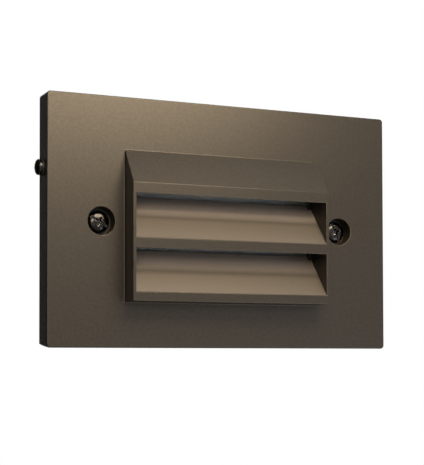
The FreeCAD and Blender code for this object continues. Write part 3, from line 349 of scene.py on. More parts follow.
@dataclass(frozen=True)
class PowderCoat(Finish):
    """Sprayed powder, with light painted on as a paler shade in a recess.

    How the painted light grows with depth is fitted to the photograph's brightness in this studio.

    Args:
        painted_light: Paler shade painted where the lip's shadow falls on the louvres, sRGB.
        painted_light_roughness: Its roughness.
        painted_light_metallic: Its share of metal, lower where the light is painted.
        painted_light_height_mm: Height of its coarser relief.
        recess_middle: Middle of the recess, in millimetres.
        recess_half: Half sizes of the recess.
        upward: Lowest rise of a face that gets the painted light.
        painted_light_depths: Places along Y where the painted light starts and where it is
            strongest.
        painted_light_span: Share of the painted light at those two depths.
    """

    painted_light: str = "#808080"
    painted_light_roughness: float = 0.6
    painted_light_metallic: float = 0.2
    painted_light_height_mm: float = 0.05
    recess_middle: Point = (0.0, 0.0, 0.0)
    recess_half: Point = (1.0, 1.0, 1.0)
    upward: float = 0.3
    painted_light_depths: Span = (0.0, 1.0)
    painted_light_span: Span = (0.5, 1.0)

    def painted_light_share(self, tree: bpy.types.NodeTree) -> bpy.types.NodeSocket | None:
        """Finds the upward faces in the recess where light is painted.

        Args:
            tree: Node tree of the material.

        Returns:
            The share of the painted light there, which grows towards the back where the lip's
            shadow falls, and else 0.
        """
        coordinates = add_node(tree, "ShaderNodeTexCoord").outputs
        place = add_node(tree, "ShaderNodeSeparateXYZ", {}, {0: coordinates["Object"]}).outputs
        facing = add_node(tree, "ShaderNodeSeparateXYZ", {}, {0: coordinates["Normal"]}).outputs
        inputs = {0: facing[2], 1: self.upward}
        share = add_node(tree, "ShaderNodeMath", {"operation": "GREATER_THAN"}, inputs).outputs[0]
        for axis in range(3):
            inputs = {0: place[axis], 1: self.recess_middle[axis] * MM,
                      2: self.recess_half[axis] * MM}
            inside = add_node(tree, "ShaderNodeMath", {"operation": "COMPARE"}, inputs).outputs[0]
            inputs = {0: share, 1: inside}
            share = add_node(tree, "ShaderNodeMath", {"operation": "MULTIPLY"}, inputs).outputs[0]
        # The painted light grows towards the back of the louvres, where the lip's shadow is
        # deepest.
        limits = {0: place[1], 1: self.painted_light_depths[0] * MM, 2: self.painted_light_depths[1] * MM,
                  3: self.painted_light_span[0], 4: self.painted_light_span[1]}
        deeper = add_node(tree, "ShaderNodeMapRange", {}, limits).outputs[0]
        inputs = {0: share, 1: deeper}
        return add_node(tree, "ShaderNodeMath", {"operation": "MULTIPLY"}, inputs).outputs[0]

    def metal_share(self, tree: bpy.types.NodeTree,
                    where: bpy.types.NodeSocket | None) -> bpy.types.NodeSocket | float:
        """Lowers the metal share where the light is painted."""
        limits = {0: where, 3: self.metallic, 4: self.painted_light_metallic}
        return add_node(tree, "ShaderNodeMapRange", {}, limits).outputs[0]

    def relief_height(self, tree: bpy.types.NodeTree,
                      where: bpy.types.NodeSocket | None) -> bpy.types.NodeSocket | float:
        """Makes the orange peel higher where the light is painted."""
        limits = {0: where, 3: self.height_mm * MM, 4: self.painted_light_height_mm * MM}
        return add_node(tree, "ShaderNodeMapRange", {}, limits).outputs[0]

    def shade(self, tree: bpy.types.NodeTree, place: bpy.types.NodeSocket,
              where: bpy.types.NodeSocket | None) -> bpy.types.NodeSocket:
        """Paints light on the louvres by mixing in the paler shade.

        Args:
            tree: Node tree of the material.
            place: Socket with the coordinates in metres.
            where: Share of the painted light at each point.

        Returns:
            The colour.
        """
        thin = super().shade(tree, place, where)
        # Painted light: the paler shade fills the lip's shadow on the louvres.
        shades = {0: where, 6: thin, 7: linear(self.painted_light)}
        return add_node(tree, "ShaderNodeMix", {"data_type": "RGBA"}, shades).outputs[2]

    def gloss(self, tree: bpy.types.NodeTree, place: bpy.types.NodeSocket,
              where: bpy.types.NodeSocket | None) -> bpy.types.NodeSocket:
        """Dulls the surface where the light is painted.

        Args:
            tree: Node tree of the material.
            place: Socket with the coordinates in metres.
            where: Share of the painted light at each point.

        Returns:
            The roughness.
        """
        inputs = {0: where, 2: super().gloss(tree, place, where), 3: self.painted_light_roughness}
        return add_node(tree, "ShaderNodeMix", {"data_type": "FLOAT"}, inputs).outputs[0]


# ---- Finishes -------------------------------------------------------------------------------
# Die-cast aluminium under textured polyester powder, baked on: a dark warm brown with metal
# flake in it and a fine orange peel that scatters the light. The film is thinner and lighter at
# edges. The paler shade on the louvres is painted light that fills the shadow of the hood's lip;
# it and the depths where it changes are chosen so that this studio's render matches the
# photograph, and nothing shows that the real coat is paler there.
BRONZE_POWDER_COAT = PowderCoat(
    "bronze_powder_coat", "#38322b", "#3d372f", (0.38, 0.42), Relief.PEBBLE, 0.42, 0.030,
    metallic=0.75, mottle_mm=0.9, edge_wear_and_glint="#8d7f69", edge_wear_and_glint_share=0.6, edge_mm=0.2,
    painted_light="#a39485", painted_light_roughness=0.60, painted_light_metallic=0.15, painted_light_height_mm=0.075,
    painted_light_depths=(-9.5, -7.5), painted_light_span=(0.27, 1.0),
    recess_middle=(0.0, -9.2, -6.85), recess_half=(32.9, 6.05, 15.25))
# Closed-cell foam, cut with a die: dull black with open cells where the knife went.
CLOSED_CELL_FOAM = Finish(
    "closed_cell_foam", "#161617", "#242425", (0.85, 0.95), Relief.CELLS, 0.45, 0.10,
    edge_wear_and_glint="#38383a", sheen=0.15)
# Aluminium, die-cast and blasted: a pale grey, evenly rough, brighter where it was handled.
CAST_ALUMINIUM = Finish(
    "cast_aluminium", "#8b8e90", "#a7aaab", (0.42, 0.58), Relief.PEBBLE, 0.35, 0.030,
    metallic=1.0, edge_wear_and_glint="#d2d5d6", edge_wear_and_glint_share=0.6)
# Nylon, moulded and black: a low satin gloss over a faint spark texture.
BLACK_NYLON = Finish(
    "black_nylon", "#141415", "#202122", (0.42, 0.58), Relief.PEBBLE, 0.18, 0.010,
    edge_wear_and_glint="#3c3d3e", ior=1.53)
# Polycarbonate, extruded and frosted on both faces: pale and dull, and it looks dark until the
# light behind it is on.
OPAL_POLYCARBONATE = Finish(
    "opal_polycarbonate", "#c9c9c4", "#d8d8d2", (0.60, 0.70), Relief.PEBBLE, 0.4, 0.010,
    edge_wear_and_glint="#ecece6", ior=1.58, passes=0.85)
# Silicone rubber, moulded: soft black that takes a grey bloom.
SILICONE_RUBBER = Finish(
    "silicone_rubber", "#1d1d1e", "#2b2b2d", (0.60, 0.75), Relief.PEBBLE, 0.25, 0.012,
    edge_wear_and_glint="#434345", ior=1.41, sheen=0.2)
# Polyester sheet, foamed and white: an even diffuse white.
WHITE_POLYESTER = Finish(
    "white_polyester", "#e9e9e6", "#f5f5f2", (0.45, 0.55), Relief.PEBBLE, 0.15, 0.004,
    edge_wear_and_glint="#ffffff")
# White solder mask, screened on an aluminium-core board: glossy, with a slight ripple.
WHITE_SOLDER_MASK = Finish(
    "white_solder_mask", "#e0e2de", "#eceeea", (0.22, 0.32), Relief.PEBBLE, 0.8, 0.006,
    edge_wear_and_glint="#bfc1bd")
# Phosphor in clear silicone, dispensed in each package: strong yellow with grains in it.
LED_PHOSPHOR = Finish(
    "led_phosphor", "#dfc02c", "#f0d64a", (0.30, 0.45), Relief.CELLS, 0.12, 0.006,
    edge_wear_and_glint="#f7f3df", edge_wear_and_glint_share=0.7, mottle_mm=0.6, ior=1.41)
# Nylon, moulded and undyed: a warm off-white with a satin gloss.
WHITE_NYLON = Finish(
    "white_nylon", "#d8d5c9", "#e6e3d9", (0.38, 0.50), Relief.PEBBLE, 0.2, 0.008,
    edge_wear_and_glint="#f2f0ea", inner_glow=0.1)
# Steel, cold headed and zinc plated: bright, a little blue, with fine tool rings.
ZINC_STEEL = Finish(
    "zinc_steel", "#a3a6aa", "#bfc2c4", (0.20, 0.32), Relief.TURNED, 0.16, 0.004,
    metallic=1.0, mottle_mm=1.5, edge_wear_and_glint="#dcdedf")
# Silicone filled with ceramic powder, cast in sheet: grey blue and chalky.
THERMAL_SILICONE = Finish(
    "thermal_silicone", "#74808c", "#8c98a4", (0.65, 0.78), Relief.PEBBLE, 0.3, 0.014,
    edge_wear_and_glint="#a3aeb9")
# PVC, extruded over wire: smooth with a soft gloss and faint rings of the die.
RED_INSULATION = Finish(
    "red_insulation", "#8f1613", "#ad211d", (0.32, 0.42), Relief.TURNED, 0.3, 0.004,
    edge_wear_and_glint="#c9433f", ior=1.54)
# The same PVC in black.
BLACK_INSULATION = Finish(
    "black_insulation", "#111112", "#1b1b1c", (0.32, 0.42), Relief.TURNED, 0.3, 0.004,
    edge_wear_and_glint="#3a3a3b", ior=1.54)
# Glass cloth in epoxy under green solder mask: glossy, and the weave shows through.
GREEN_LAMINATE = Finish(
    "green_laminate", "#124a27", "#1b6335", (0.24, 0.36), Relief.WEAVE, 0.6, 0.008,
    edge_wear_and_glint="#b7b07c", edge_wear_and_glint_share=0.6, ior=1.55)
# Brass, turned from bar: yellow, bright, with fine rings of the tool.
TURNED_BRASS = Finish(
    "turned_brass", "#b18f45", "#cbab5e", (0.18, 0.30), Relief.TURNED, 0.14, 0.005,
    metallic=1.0, mottle_mm=1.5, edge_wear_and_glint="#e6cf93")
# Ferrite, pressed and sintered: charcoal grey, matte and finely pitted.
FERRITE = Finish(
    "ferrite", "#252629", "#36373b", (0.48, 0.62), Relief.CELLS, 0.2, 0.012,
    edge_wear_and_glint="#5a5b60", ior=1.9)
# Polyester film tape, wound on: glossy yellow, one lap over the other.
YELLOW_TAPE = Finish(
    "yellow_tape", "#c79c16", "#deb42a", (0.24, 0.36), Relief.WRAPPED, 2.2, 0.05,
    edge_wear_and_glint="#ecd06a", ior=1.6)
# PVC sleeve, shrunk over an aluminium can: dark blue, glossy, with a slight ripple.
CAPACITOR_SLEEVE = Finish(
    "capacitor_sleeve", "#161f38", "#202c4a", (0.20, 0.30), Relief.PEBBLE, 1.4, 0.02,
    edge_wear_and_glint="#44547c", ior=1.54)
# Epoxy cast in a box moulding: ochre yellow, satin.
YELLOW_EPOXY = Finish(
    "yellow_epoxy", "#bd8d25", "#d3a338", (0.35, 0.48), Relief.PEBBLE, 0.3, 0.010,
    edge_wear_and_glint="#e3c272", ior=1.55)
# Epoxy, transfer moulded over silicon: dull black with the mould's spark texture.
BLACK_EPOXY = Finish(
    "black_epoxy", "#131314", "#1e1e20", (0.50, 0.64), Relief.PEBBLE, 0.14, 0.010,
    edge_wear_and_glint="#38383a", ior=1.55)
# Steatite tube, glazed: cream, with a wet gloss.
FUSE_CERAMIC = Finish(
    "fuse_ceramic", "#d6d0bf", "#e5e0d2", (0.16, 0.24), Relief.PEBBLE, 1.2, 0.010,
    edge_wear_and_glint="#f3f0e8", coat=0.5)
# Epoxy powder, dipped and cured on a disc: bright blue with thick rounded gloss.
BLUE_EPOXY = Finish(
    "blue_epoxy", "#194783", "#245a9c", (0.22, 0.32), Relief.PEBBLE, 1.0, 0.03,
    edge_wear_and_glint="#4f83bd", ior=1.55)
# Polyamide, moulded: mid green and satin.
GREEN_POLYAMIDE = Finish(
    "green_polyamide", "#266c38", "#328246", (0.38, 0.50), Relief.PEBBLE, 0.2, 0.010,
    edge_wear_and_glint="#69a577", ior=1.53)
# Vulcanised fibre paper, die cut: grey, dry, with crossing fibres.
FISH_PAPER = Finish(
    "fish_paper", "#6a716b", "#7b827b", (0.66, 0.78), Relief.WEAVE, 0.4, 0.012,
    edge_wear_and_glint="#949b94")
# Steel under green dyed zinc: the hue that marks an earth screw, thin at its corners.
GREEN_ZINC_STEEL = Finish(
    "green_zinc_steel", "#2a6336", "#3a8050", (0.26, 0.38), Relief.TURNED, 0.2, 0.005,
    metallic=0.85, mottle_mm=1.5, edge_wear_and_glint="#a9b8a6", edge_wear_and_glint_share=0.6)
# Steel, cold headed and plated with bright black nickel: near black, mirror smooth, so that it
# shows only small sharp lights and thin bright lines at its edges. The near-white edge shade is
# partly scuffed plating and partly a painted highlight along the edges of the head and its recess.
BLACK_NICKEL = Finish(
    "black_nickel", "#2a2826", "#3a3734", (0.13, 0.22), Relief.TURNED, 0.12, 0.002,
    metallic=1.0, mottle_mm=1.2, edge_wear_and_glint="#d8d2ca", edge_wear_and_glint_share=0.9, edge_mm=0.14)


def dress(finish: Finish, *nodes: str) -> None:
    """Gives solids their finish by their material slots.

    Args:
        finish: Finish to give.
        nodes: Names of the solids.
    """
    material = finish.material()
    for node in nodes:
        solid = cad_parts[node]
        if not solid.material_slots:
            solid.data.materials.append(material)
        for material_slot in solid.material_slots:
            material_slot.material = material
    LOG.info("%s: %s", finish.name, ", ".join(nodes))


# ---- Mesh helpers ---------------------------------------------------------------------------
def deselect() -> None:
    """Leaves object mode with nothing selected."""
    if bpy.context.object is not None and bpy.context.object.mode != "OBJECT":
        bpy.ops.object.mode_set(mode="OBJECT")
    bpy.ops.object.select_all(action="DESELECT")


def pick(piece: bpy.types.Object) -> None:
    """Makes one object the selected and active one."""
    deselect()
    piece.select_set(True)
    bpy.context.view_layer.objects.active = piece


def trace(name: str, points: list[Point]) -> bpy.types.Object:
    """Draws a line of edges by extruding one vertex from point to point.

    A screw is shaped at one Blender unit to the millimetre, because booleans and welds are
    safer there, and is scaled to metres when it is put in its place.

    Args:
        name: Name of the new object.
        points: Corners of the line, in millimetres.

    Returns:
        The object, in edit mode with the line selected.
    """
    deselect()
    bpy.ops.mesh.primitive_plane_add(size=1.0, location=points[0])
    line = bpy.context.object
    line.name = name
    bpy.ops.object.transform_apply(location=True, rotation=True, scale=True)
    bpy.ops.object.mode_set(mode="EDIT")
    bpy.ops.mesh.select_all(action="SELECT")
    bpy.ops.mesh.merge(type="CENTER")
    for before, after in zip(points, points[1:]):
        step = Vector(after) - Vector(before)
        bpy.ops.mesh.extrude_vertices_move(TRANSFORM_OT_translate={"value": step})
    bpy.ops.mesh.select_all(action="SELECT")
    return line


def apply_modifier(piece: bpy.types.Object, kind: str, **settings: object) -> None:
    """Adds a modifier to a piece and applies it.

    Args:
        piece: Object that gets the modifier.
        kind: Blender's name of the modifier type.
        settings: Properties of the modifier by name.
    """
    pick(piece)
    modifier = piece.modifiers.new(kind.lower(), kind)
    for name, value in settings.items():
        setattr(modifier, name, value)
    bpy.ops.object.modifier_apply(modifier=modifier.name)


def clean(piece: bpy.types.Object) -> None:
    """Merges a piece's doubled points and turns its faces outwards."""
    pick(piece)
    bpy.ops.object.mode_set(mode="EDIT")
    bpy.ops.mesh.select_all(action="SELECT")
    bpy.ops.mesh.remove_doubles(threshold=WELD_MM)
    bpy.ops.mesh.normals_make_consistent(inside=False)
    bpy.ops.object.mode_set(mode="OBJECT")


# ---- Screws that show -----------------------------------------------------------------------
@dataclass
class MachineScrew:
    """A pan head screw with a slot and a cross, and a rolled thread, made along +Z from its seat.

    Args:
        node: Solid that it stands for.
        body: Body that it rides on.
        seat: Middle of the face that the head sits on.
        outward: Direction from the seat to the top of the head.
        head_radius: Radius of the head.
        band: Height of the head's straight side.
        dome: Height of the head's dome.
        shank_radius: Radius over the thread's crests.
        length: Seat to tip.
        pitch: Rise of the thread in one turn.
        neck_radius: Radius of the plain stretch below the head.
        neck_length: Length of that stretch.
        recess_turn: Turn of the drive recess about the axis, in degrees.
        recess_share: Span of the cross over the head's diameter.
        recess_taper: Span at the cross's floor over the span at its mouth.
        recess_depth_share: Depth of the cross over the head's height.
        recess_width_share: Width of each wing over the cross's span.
        slot_share: Length of the slot over the head's diameter.
        slot_depth_share: Depth of the slot over the head's height.
        fullness: 2 makes the dome an ellipse, and more makes it flatter with a rounder shoulder.
        edge_round: Rounding of the head's edges and of its recess.
        thread_depth_share: Depth of the thread over its pitch.
        crest_share: Half width of the thread's crest over its pitch.
        tip_chamfer: Size of the chamfer at the tip.
        steps: Faces round one turn of the thread.
        head_steps: Faces round the head.
        dome_points: Steps from the top of the dome to its foot.
        foot_chamfer: Size of the chamfer under the head's rim and where the neck starts.
        overlap: How far the head's neck runs into the shank.
        overcut: How far a cutter stands over the dome.
    """

    node: str
    body: str
    seat: Point
    outward: Point
    head_radius: float
    band: float
    dome: float
    shank_radius: float
    length: float
    pitch: float
    neck_radius: float
    neck_length: float
    recess_turn: float
    recess_share: float = 0.56
    recess_taper: float = 0.35
    recess_depth_share: float = 0.62
    recess_width_share: float = 0.24
    slot_share: float = 1.1
    slot_depth_share: float = 0.30
    fullness: float = 2.3
    edge_round: float = 0.11
    thread_depth_share: float = 0.58
    crest_share: float = 0.07
    tip_chamfer: float = 0.5
    steps: int = 40
    head_steps: int = 72
    dome_points: int = 15
    foot_chamfer: Span = (0.08, 0.1)
    overlap: float = 0.2
    overcut: float = 0.5

    @property
    def head_height(self) -> float:
        """Seat to the top of the dome."""
        return self.band + self.dome

    def head(self) -> bpy.types.Object:
        """Spins the head and its neck from their outline, and cuts the drive recess.

        Returns:
            The head's closed mesh.
        """
        outline = [(0.0, 0.0, self.head_height)]
        for index in range(1, self.dome_points):
            angle = math.tau / 4 * index / self.dome_points
            across = self.head_radius * math.sin(angle) ** (2 / self.fullness)
            rise = self.dome * math.cos(angle) ** (2 / self.fullness)
            outline.append((across, 0.0, self.band + rise))
        rim, neck = self.foot_chamfer
        foot = -self.neck_length - self.overlap
        outline += [
            (self.head_radius, 0.0, self.band),
            (self.head_radius, 0.0, rim),
            (self.head_radius - rim, 0.0, 0.0),
            (self.neck_radius + neck, 0.0, 0.0),
            (self.neck_radius, 0.0, -neck),
            (self.neck_radius, 0.0, foot),
            (0.0, 0.0, foot),
        ]
        head = trace(self.node + "_head", outline)
        bpy.ops.mesh.spin(
            steps=self.head_steps, angle=math.tau, center=(0, 0, 0), axis=(0, 0, 1))
        clean(head)
        span = 2 * self.head_radius * self.recess_share
        deep = self.head_height * self.recess_depth_share
        slot = 2 * self.head_radius * self.slot_share
        self.cut(head, 0.0, span, deep, self.recess_taper)
        self.cut(head, 90.0, span, deep, self.recess_taper)
        self.cut(head, 90.0, slot, self.head_height * self.slot_depth_share, 1.0)
        apply_modifier(
            head, "BEVEL", width=self.edge_round, segments=2, limit_method="ANGLE",
            angle_limit=math.radians(38), use_clamp_overlap=True)
        clean(head)
        return head

    def cut(self, head: bpy.types.Object, turn: float, span: float, depth: float,
            taper: float) -> None:
        """Cuts one wing or slot of the drive recess into the top of the head.

        Args:
            head: Mesh to cut.
            turn: Turn of this cut from the recess's own, in degrees.
            span: Length at its mouth.
            depth: Depth below the top of the dome.
            taper: Length at its floor over the length at its mouth.
        """
        width = 2 * self.head_radius * self.recess_share * self.recess_width_share
        deselect()
        middle = self.head_height + (self.overcut - depth) / 2
        bpy.ops.mesh.primitive_cube_add(size=1.0, location=(0, 0, middle))
        wing = bpy.context.object
        wing.scale = (span, width, depth + self.overcut)
        bpy.ops.object.transform_apply(location=True, rotation=True, scale=True)
        bpy.ops.object.mode_set(mode="EDIT")
        bpy.ops.mesh.select_all(action="DESELECT")
        bpy.ops.mesh.select_mode(type="VERT")
        bpy.ops.object.mode_set(mode="OBJECT")
        for vertex in wing.data.vertices:
            vertex.select = vertex.co.z < middle
        bpy.ops.object.mode_set(mode="EDIT")
        bpy.ops.transform.resize(value=(taper, 0.8, 1), center_override=(0, 0, middle))
        bpy.ops.object.mode_set(mode="OBJECT")
        wing.data.transform(Matrix.Rotation(math.radians(self.recess_turn + turn), 4, "Z"))
        apply_modifier(head, "BOOLEAN", operation="DIFFERENCE", solver="EXACT", object=wing)
        bpy.data.objects.remove(wing)

    def shank(self) -> bpy.types.Object:
        """Winds the thread from one tooth's outline and closes its two ends.

        Returns:
            The shank's closed mesh, from the neck to the tip.
        """
        root = self.shank_radius - self.thread_depth_share * self.pitch
        start = -self.length
        turns = int((self.length - self.neck_length) / self.pitch) - 1
        flat = self.crest_share * self.pitch
        tooth = [
            (root, 0.0, start),
            (root, 0.0, start + flat),
            (self.shank_radius, 0.0, start + self.pitch / 2 - flat),
            (self.shank_radius, 0.0, start + self.pitch / 2 + flat),
            (root, 0.0, start + self.pitch - flat),
            (root, 0.0, start + self.pitch),
        ]
        shank = trace(self.node + "_shank", tooth)
        bpy.ops.object.mode_set(mode="OBJECT")
        apply_modifier(
            shank, "SCREW", angle=math.tau, screw_offset=self.pitch, iterations=turns,
            steps=self.steps, render_steps=self.steps)
        clean(shank)
        self.close_end(shank, True)
        self.close_end(shank, False)
        self.taper_ends(shank)
        clean(shank)
        return shank

    def close_end(self, shank: bpy.types.Object, tip_end: bool) -> None:
        """Draws one open end of the wound thread to a point on the axis.

        Args:
            shank: Thread, open at both ends or at this one.
            tip_end: Whether this is the end at the tip.
        """
        middle = -(self.length + self.neck_length) / 2
        pick(shank)
        bpy.ops.object.mode_set(mode="EDIT")
        bpy.ops.mesh.select_mode(type="EDGE")
        bpy.ops.mesh.select_all(action="DESELECT")
        bpy.ops.mesh.select_non_manifold()
        bpy.ops.object.mode_set(mode="OBJECT")
        mesh = shank.data
        for edge in mesh.edges:
            highest = max(mesh.vertices[index].co.z for index in edge.vertices)
            if edge.select and (highest < middle) is not tip_end:
                edge.select = False
        bpy.ops.object.mode_set(mode="EDIT")
        bpy.ops.mesh.extrude_edges_move()
        bpy.ops.mesh.select_mode(type="VERT")
        bpy.ops.mesh.merge(type="CENTER")
        bpy.ops.object.mode_set(mode="OBJECT")
        end = next(vertex for vertex in mesh.vertices if vertex.select)
        end.co = (0.0, 0.0, -self.length if tip_end else -self.neck_length)

    def taper_ends(self, shank: bpy.types.Object) -> None:
        """Chamfers the tip and runs the thread out below the neck."""
        smallest = self.shank_radius - self.tip_chamfer
        for vertex in shank.data.vertices:
            radius = math.hypot(vertex.co.x, vertex.co.y)
            vertex.co.z = min(max(vertex.co.z, -self.length), -self.neck_length)
            nearest = min(vertex.co.z + self.length, -self.neck_length - vertex.co.z)
            limit = smallest + min(nearest, self.tip_chamfer)
            if radius > limit:
                vertex.co.x *= limit / radius
                vertex.co.y *= limit / radius

    def build(self) -> bpy.types.Object:
        """Joins head and shank, puts the screw in its place and gives it its finish.

        Returns:
            The finished piece.
        """
        head = self.head()
        shank = self.shank()
        deselect()
        shank.select_set(True)
        head.select_set(True)
        bpy.context.view_layer.objects.active = head
        bpy.ops.object.join()
        head.name = self.node + "_threaded"
        head.data.name = head.name
        turn = Vector((0, 0, 1)).rotation_difference(Vector(self.outward)).to_matrix().to_4x4()
        head.matrix_world = (
            Matrix.Translation(Vector(self.seat) * MM) @ turn @ Matrix.Scale(MM, 4))
        pick(head)
        bpy.ops.object.transform_apply(location=True, rotation=True, scale=True)
        bpy.ops.object.shade_smooth_by_angle(angle=math.radians(SMOOTH_DEGREES))
        head.data.materials.clear()
        head.data.materials.append(BLACK_NICKEL.material())
        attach(head, self.body)
        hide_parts(self.node)
        LOG.info("%s: %d faces", head.name, len(head.data.polygons))
        return head


@dataclass
class Fasteners:
    """The screws that hold the light in its wall box and the engine in its plate."""

    spacing: float = 83.34
    face_seat: float = -3.8
    side_seat: Point = (-59.5, -2.9, 16.2)
    face_turns: Span = (60.0, 25.0)

    def face_screw(self, side: str, sign: float, recess_turn: float) -> MachineScrew:
        """Sizes one face screw.

        Args:
            side: Side that it stands on, left or right.
            sign: Its sign along X.
            recess_turn: Turn of its drive recess in degrees.

        Returns:
            The screw, not yet built.
        """
        return MachineScrew(
            node="face_screw_" + side, body=side + "_screw",
            seat=(sign * self.spacing / 2, self.face_seat, 0.0), outward=(0.0, -1.0, 0.0),
            head_radius=3.5, band=0.9, dome=1.6, shank_radius=1.75, length=26.2,
            pitch=25.4 / 32, neck_radius=1.4, neck_length=3.8, recess_turn=recess_turn)

    def side_screw(self) -> MachineScrew:
        """Sizes the small screw in the rim's left side; its dome stays just inside the solid's."""
        return MachineScrew(
            node="side_screw", body="rim_screw", seat=self.side_seat, outward=(-1.0, 0.0, 0.0),
            head_radius=2.5, band=0.6, dome=1.15, shank_radius=1.25, length=9.0, pitch=0.45,
            neck_radius=1.0, neck_length=0.4, recess_turn=20.0, tip_chamfer=0.4)

    def build(self) -> None:
        """Builds the three screws and dresses their washers."""
        self.face_screw("left", -1.0, self.face_turns[0]).build()
        self.face_screw("right", 1.0, self.face_turns[1]).build()
        self.side_screw().build()
        dress(BLACK_NYLON, "face_screw_washer_left", "face_screw_washer_right",
              "side_screw_washer")


# ---- Sub-assemblies that keep their solids --------------------------------------------------
@dataclass
class Faceplate:
    """The casting that shows on the wall, and the foam behind it."""

    def build(self) -> None:
        """Dresses the casting and its gasket."""
        dress(BRONZE_POWDER_COAT, "faceplate")
        dress(CLOSED_CELL_FOAM, "wall_gasket")


@dataclass
class LightEngine:
    """Housing, lens and LED board."""

    def build(self) -> None:
        """Dresses the pieces in front of the housing's partition, and the housing itself."""
        dress(CAST_ALUMINIUM, "engine_housing")
        dress(BLACK_NYLON, "lens_retainer")
        dress(OPAL_POLYCARBONATE, "lens")
        dress(SILICONE_RUBBER, "lens_gasket", "lead_grommet")
        dress(WHITE_POLYESTER, "reflector_sheet")
        dress(WHITE_SOLDER_MASK, "led_board")
        dress(LED_PHOSPHOR, "led_chips")
        dress(WHITE_NYLON, "led_connector")
        dress(ZINC_STEEL, "led_board_screws")
        dress(THERMAL_SILICONE, "thermal_pad")
        dress(RED_INSULATION, "led_lead_red")
        dress(BLACK_INSULATION, "led_lead_black")


@dataclass
class Driver:
    """The driver board and the parts soldered to it."""

    def build(self) -> None:
        """Dresses the driver."""
        dress(GREEN_LAMINATE, "driver_board")
        dress(TURNED_BRASS, "driver_standoffs")
        dress(ZINC_STEEL, "driver_screws", "terminal_screws")
        dress(FERRITE, "transformer_core", "choke")
        dress(YELLOW_TAPE, "transformer_winding")
        dress(CAPACITOR_SLEEVE, "bulk_capacitor", "output_capacitor")
        dress(YELLOW_EPOXY, "film_capacitor")
        dress(BLACK_EPOXY, "bridge_rectifier", "driver_chip", "output_diode")
        dress(FUSE_CERAMIC, "fuse")
        dress(BLUE_EPOXY, "varistor")
        dress(GREEN_POLYAMIDE, "terminal_block")
        dress(FISH_PAPER, "insulating_sheet")


@dataclass
class RearCover:
    """The plate that closes the housing, with its gasket, screws and lead entry."""

    def build(self) -> None:
        """Dresses the back of the light."""
        dress(CAST_ALUMINIUM, "rear_cover")
        dress(SILICONE_RUBBER, "rear_gasket", "supply_grommet")
        dress(ZINC_STEEL, "cover_screws")
        dress(GREEN_ZINC_STEEL, "ground_screw")


# ---- Studio ---------------------------------------------------------------------------------
@dataclass(frozen=True)
class Lamp:
    """A soft rectangular lamp.

    Args:
        name: Name of the lamp.
        place: Its middle, in millimetres.
        aim: Point that it faces.
        size: Width and height, in millimetres.
        watts: Power.
        tint: Colour of its light, sRGB.
    """

    name: str
    place: Point
    aim: Point
    size: Span
    watts: float
    tint: str

    def build(self) -> bpy.types.Object:
        """Adds the lamp.

        Returns:
            The lamp's object.
        """
        deselect()
        place = Vector(self.place) * MM
        turn = (Vector(self.aim) * MM - place).to_track_quat("-Z", "Y").to_euler()
        bpy.ops.object.light_add(type="AREA", location=place, rotation=turn)
        lamp = bpy.context.object
        lamp.name = self.name
        lamp.data.shape = "RECTANGLE"
        lamp.data.size = self.size[0] * MM
        lamp.data.size_y = self.size[1] * MM
        lamp.data.energy = self.watts
        lamp.data.color = linear(self.tint)[:3]
        lamp.visible_camera = False
        return lamp


@dataclass(frozen=True)
class Card:
    """A flat black card that keeps stray light off a side.

    Args:
        name: Name of the card.
        corners: Its low and high corner; it has no thickness along the axis where they agree.
    """

    name: str
    corners: tuple[Point, Point]

    def build(self) -> bpy.types.Object:
        """Adds the card, unseen by the camera.

        Returns:
            The card's object.
        """
        low, high = (Vector(corner) * MM for corner in self.corners)
        size = high - low
        deselect()
        bpy.ops.mesh.primitive_cube_add(size=1.0, location=(low + high) / 2)
        card = bpy.context.object
        card.name = self.name
        card.scale = [max(side, MM) for side in size]
        bpy.ops.object.transform_apply(location=True, rotation=True, scale=True)
        card.visible_camera = False
        material = bpy.data.materials.new("black_flock_card")
        material.use_nodes = True
        shader = material.node_tree.nodes["Principled BSDF"]
        shader.inputs["Base Color"].default_value = linear("#0b0b0b")
        shader.inputs["Roughness"].default_value = 0.95
        card.data.materials.append(material)
        return card


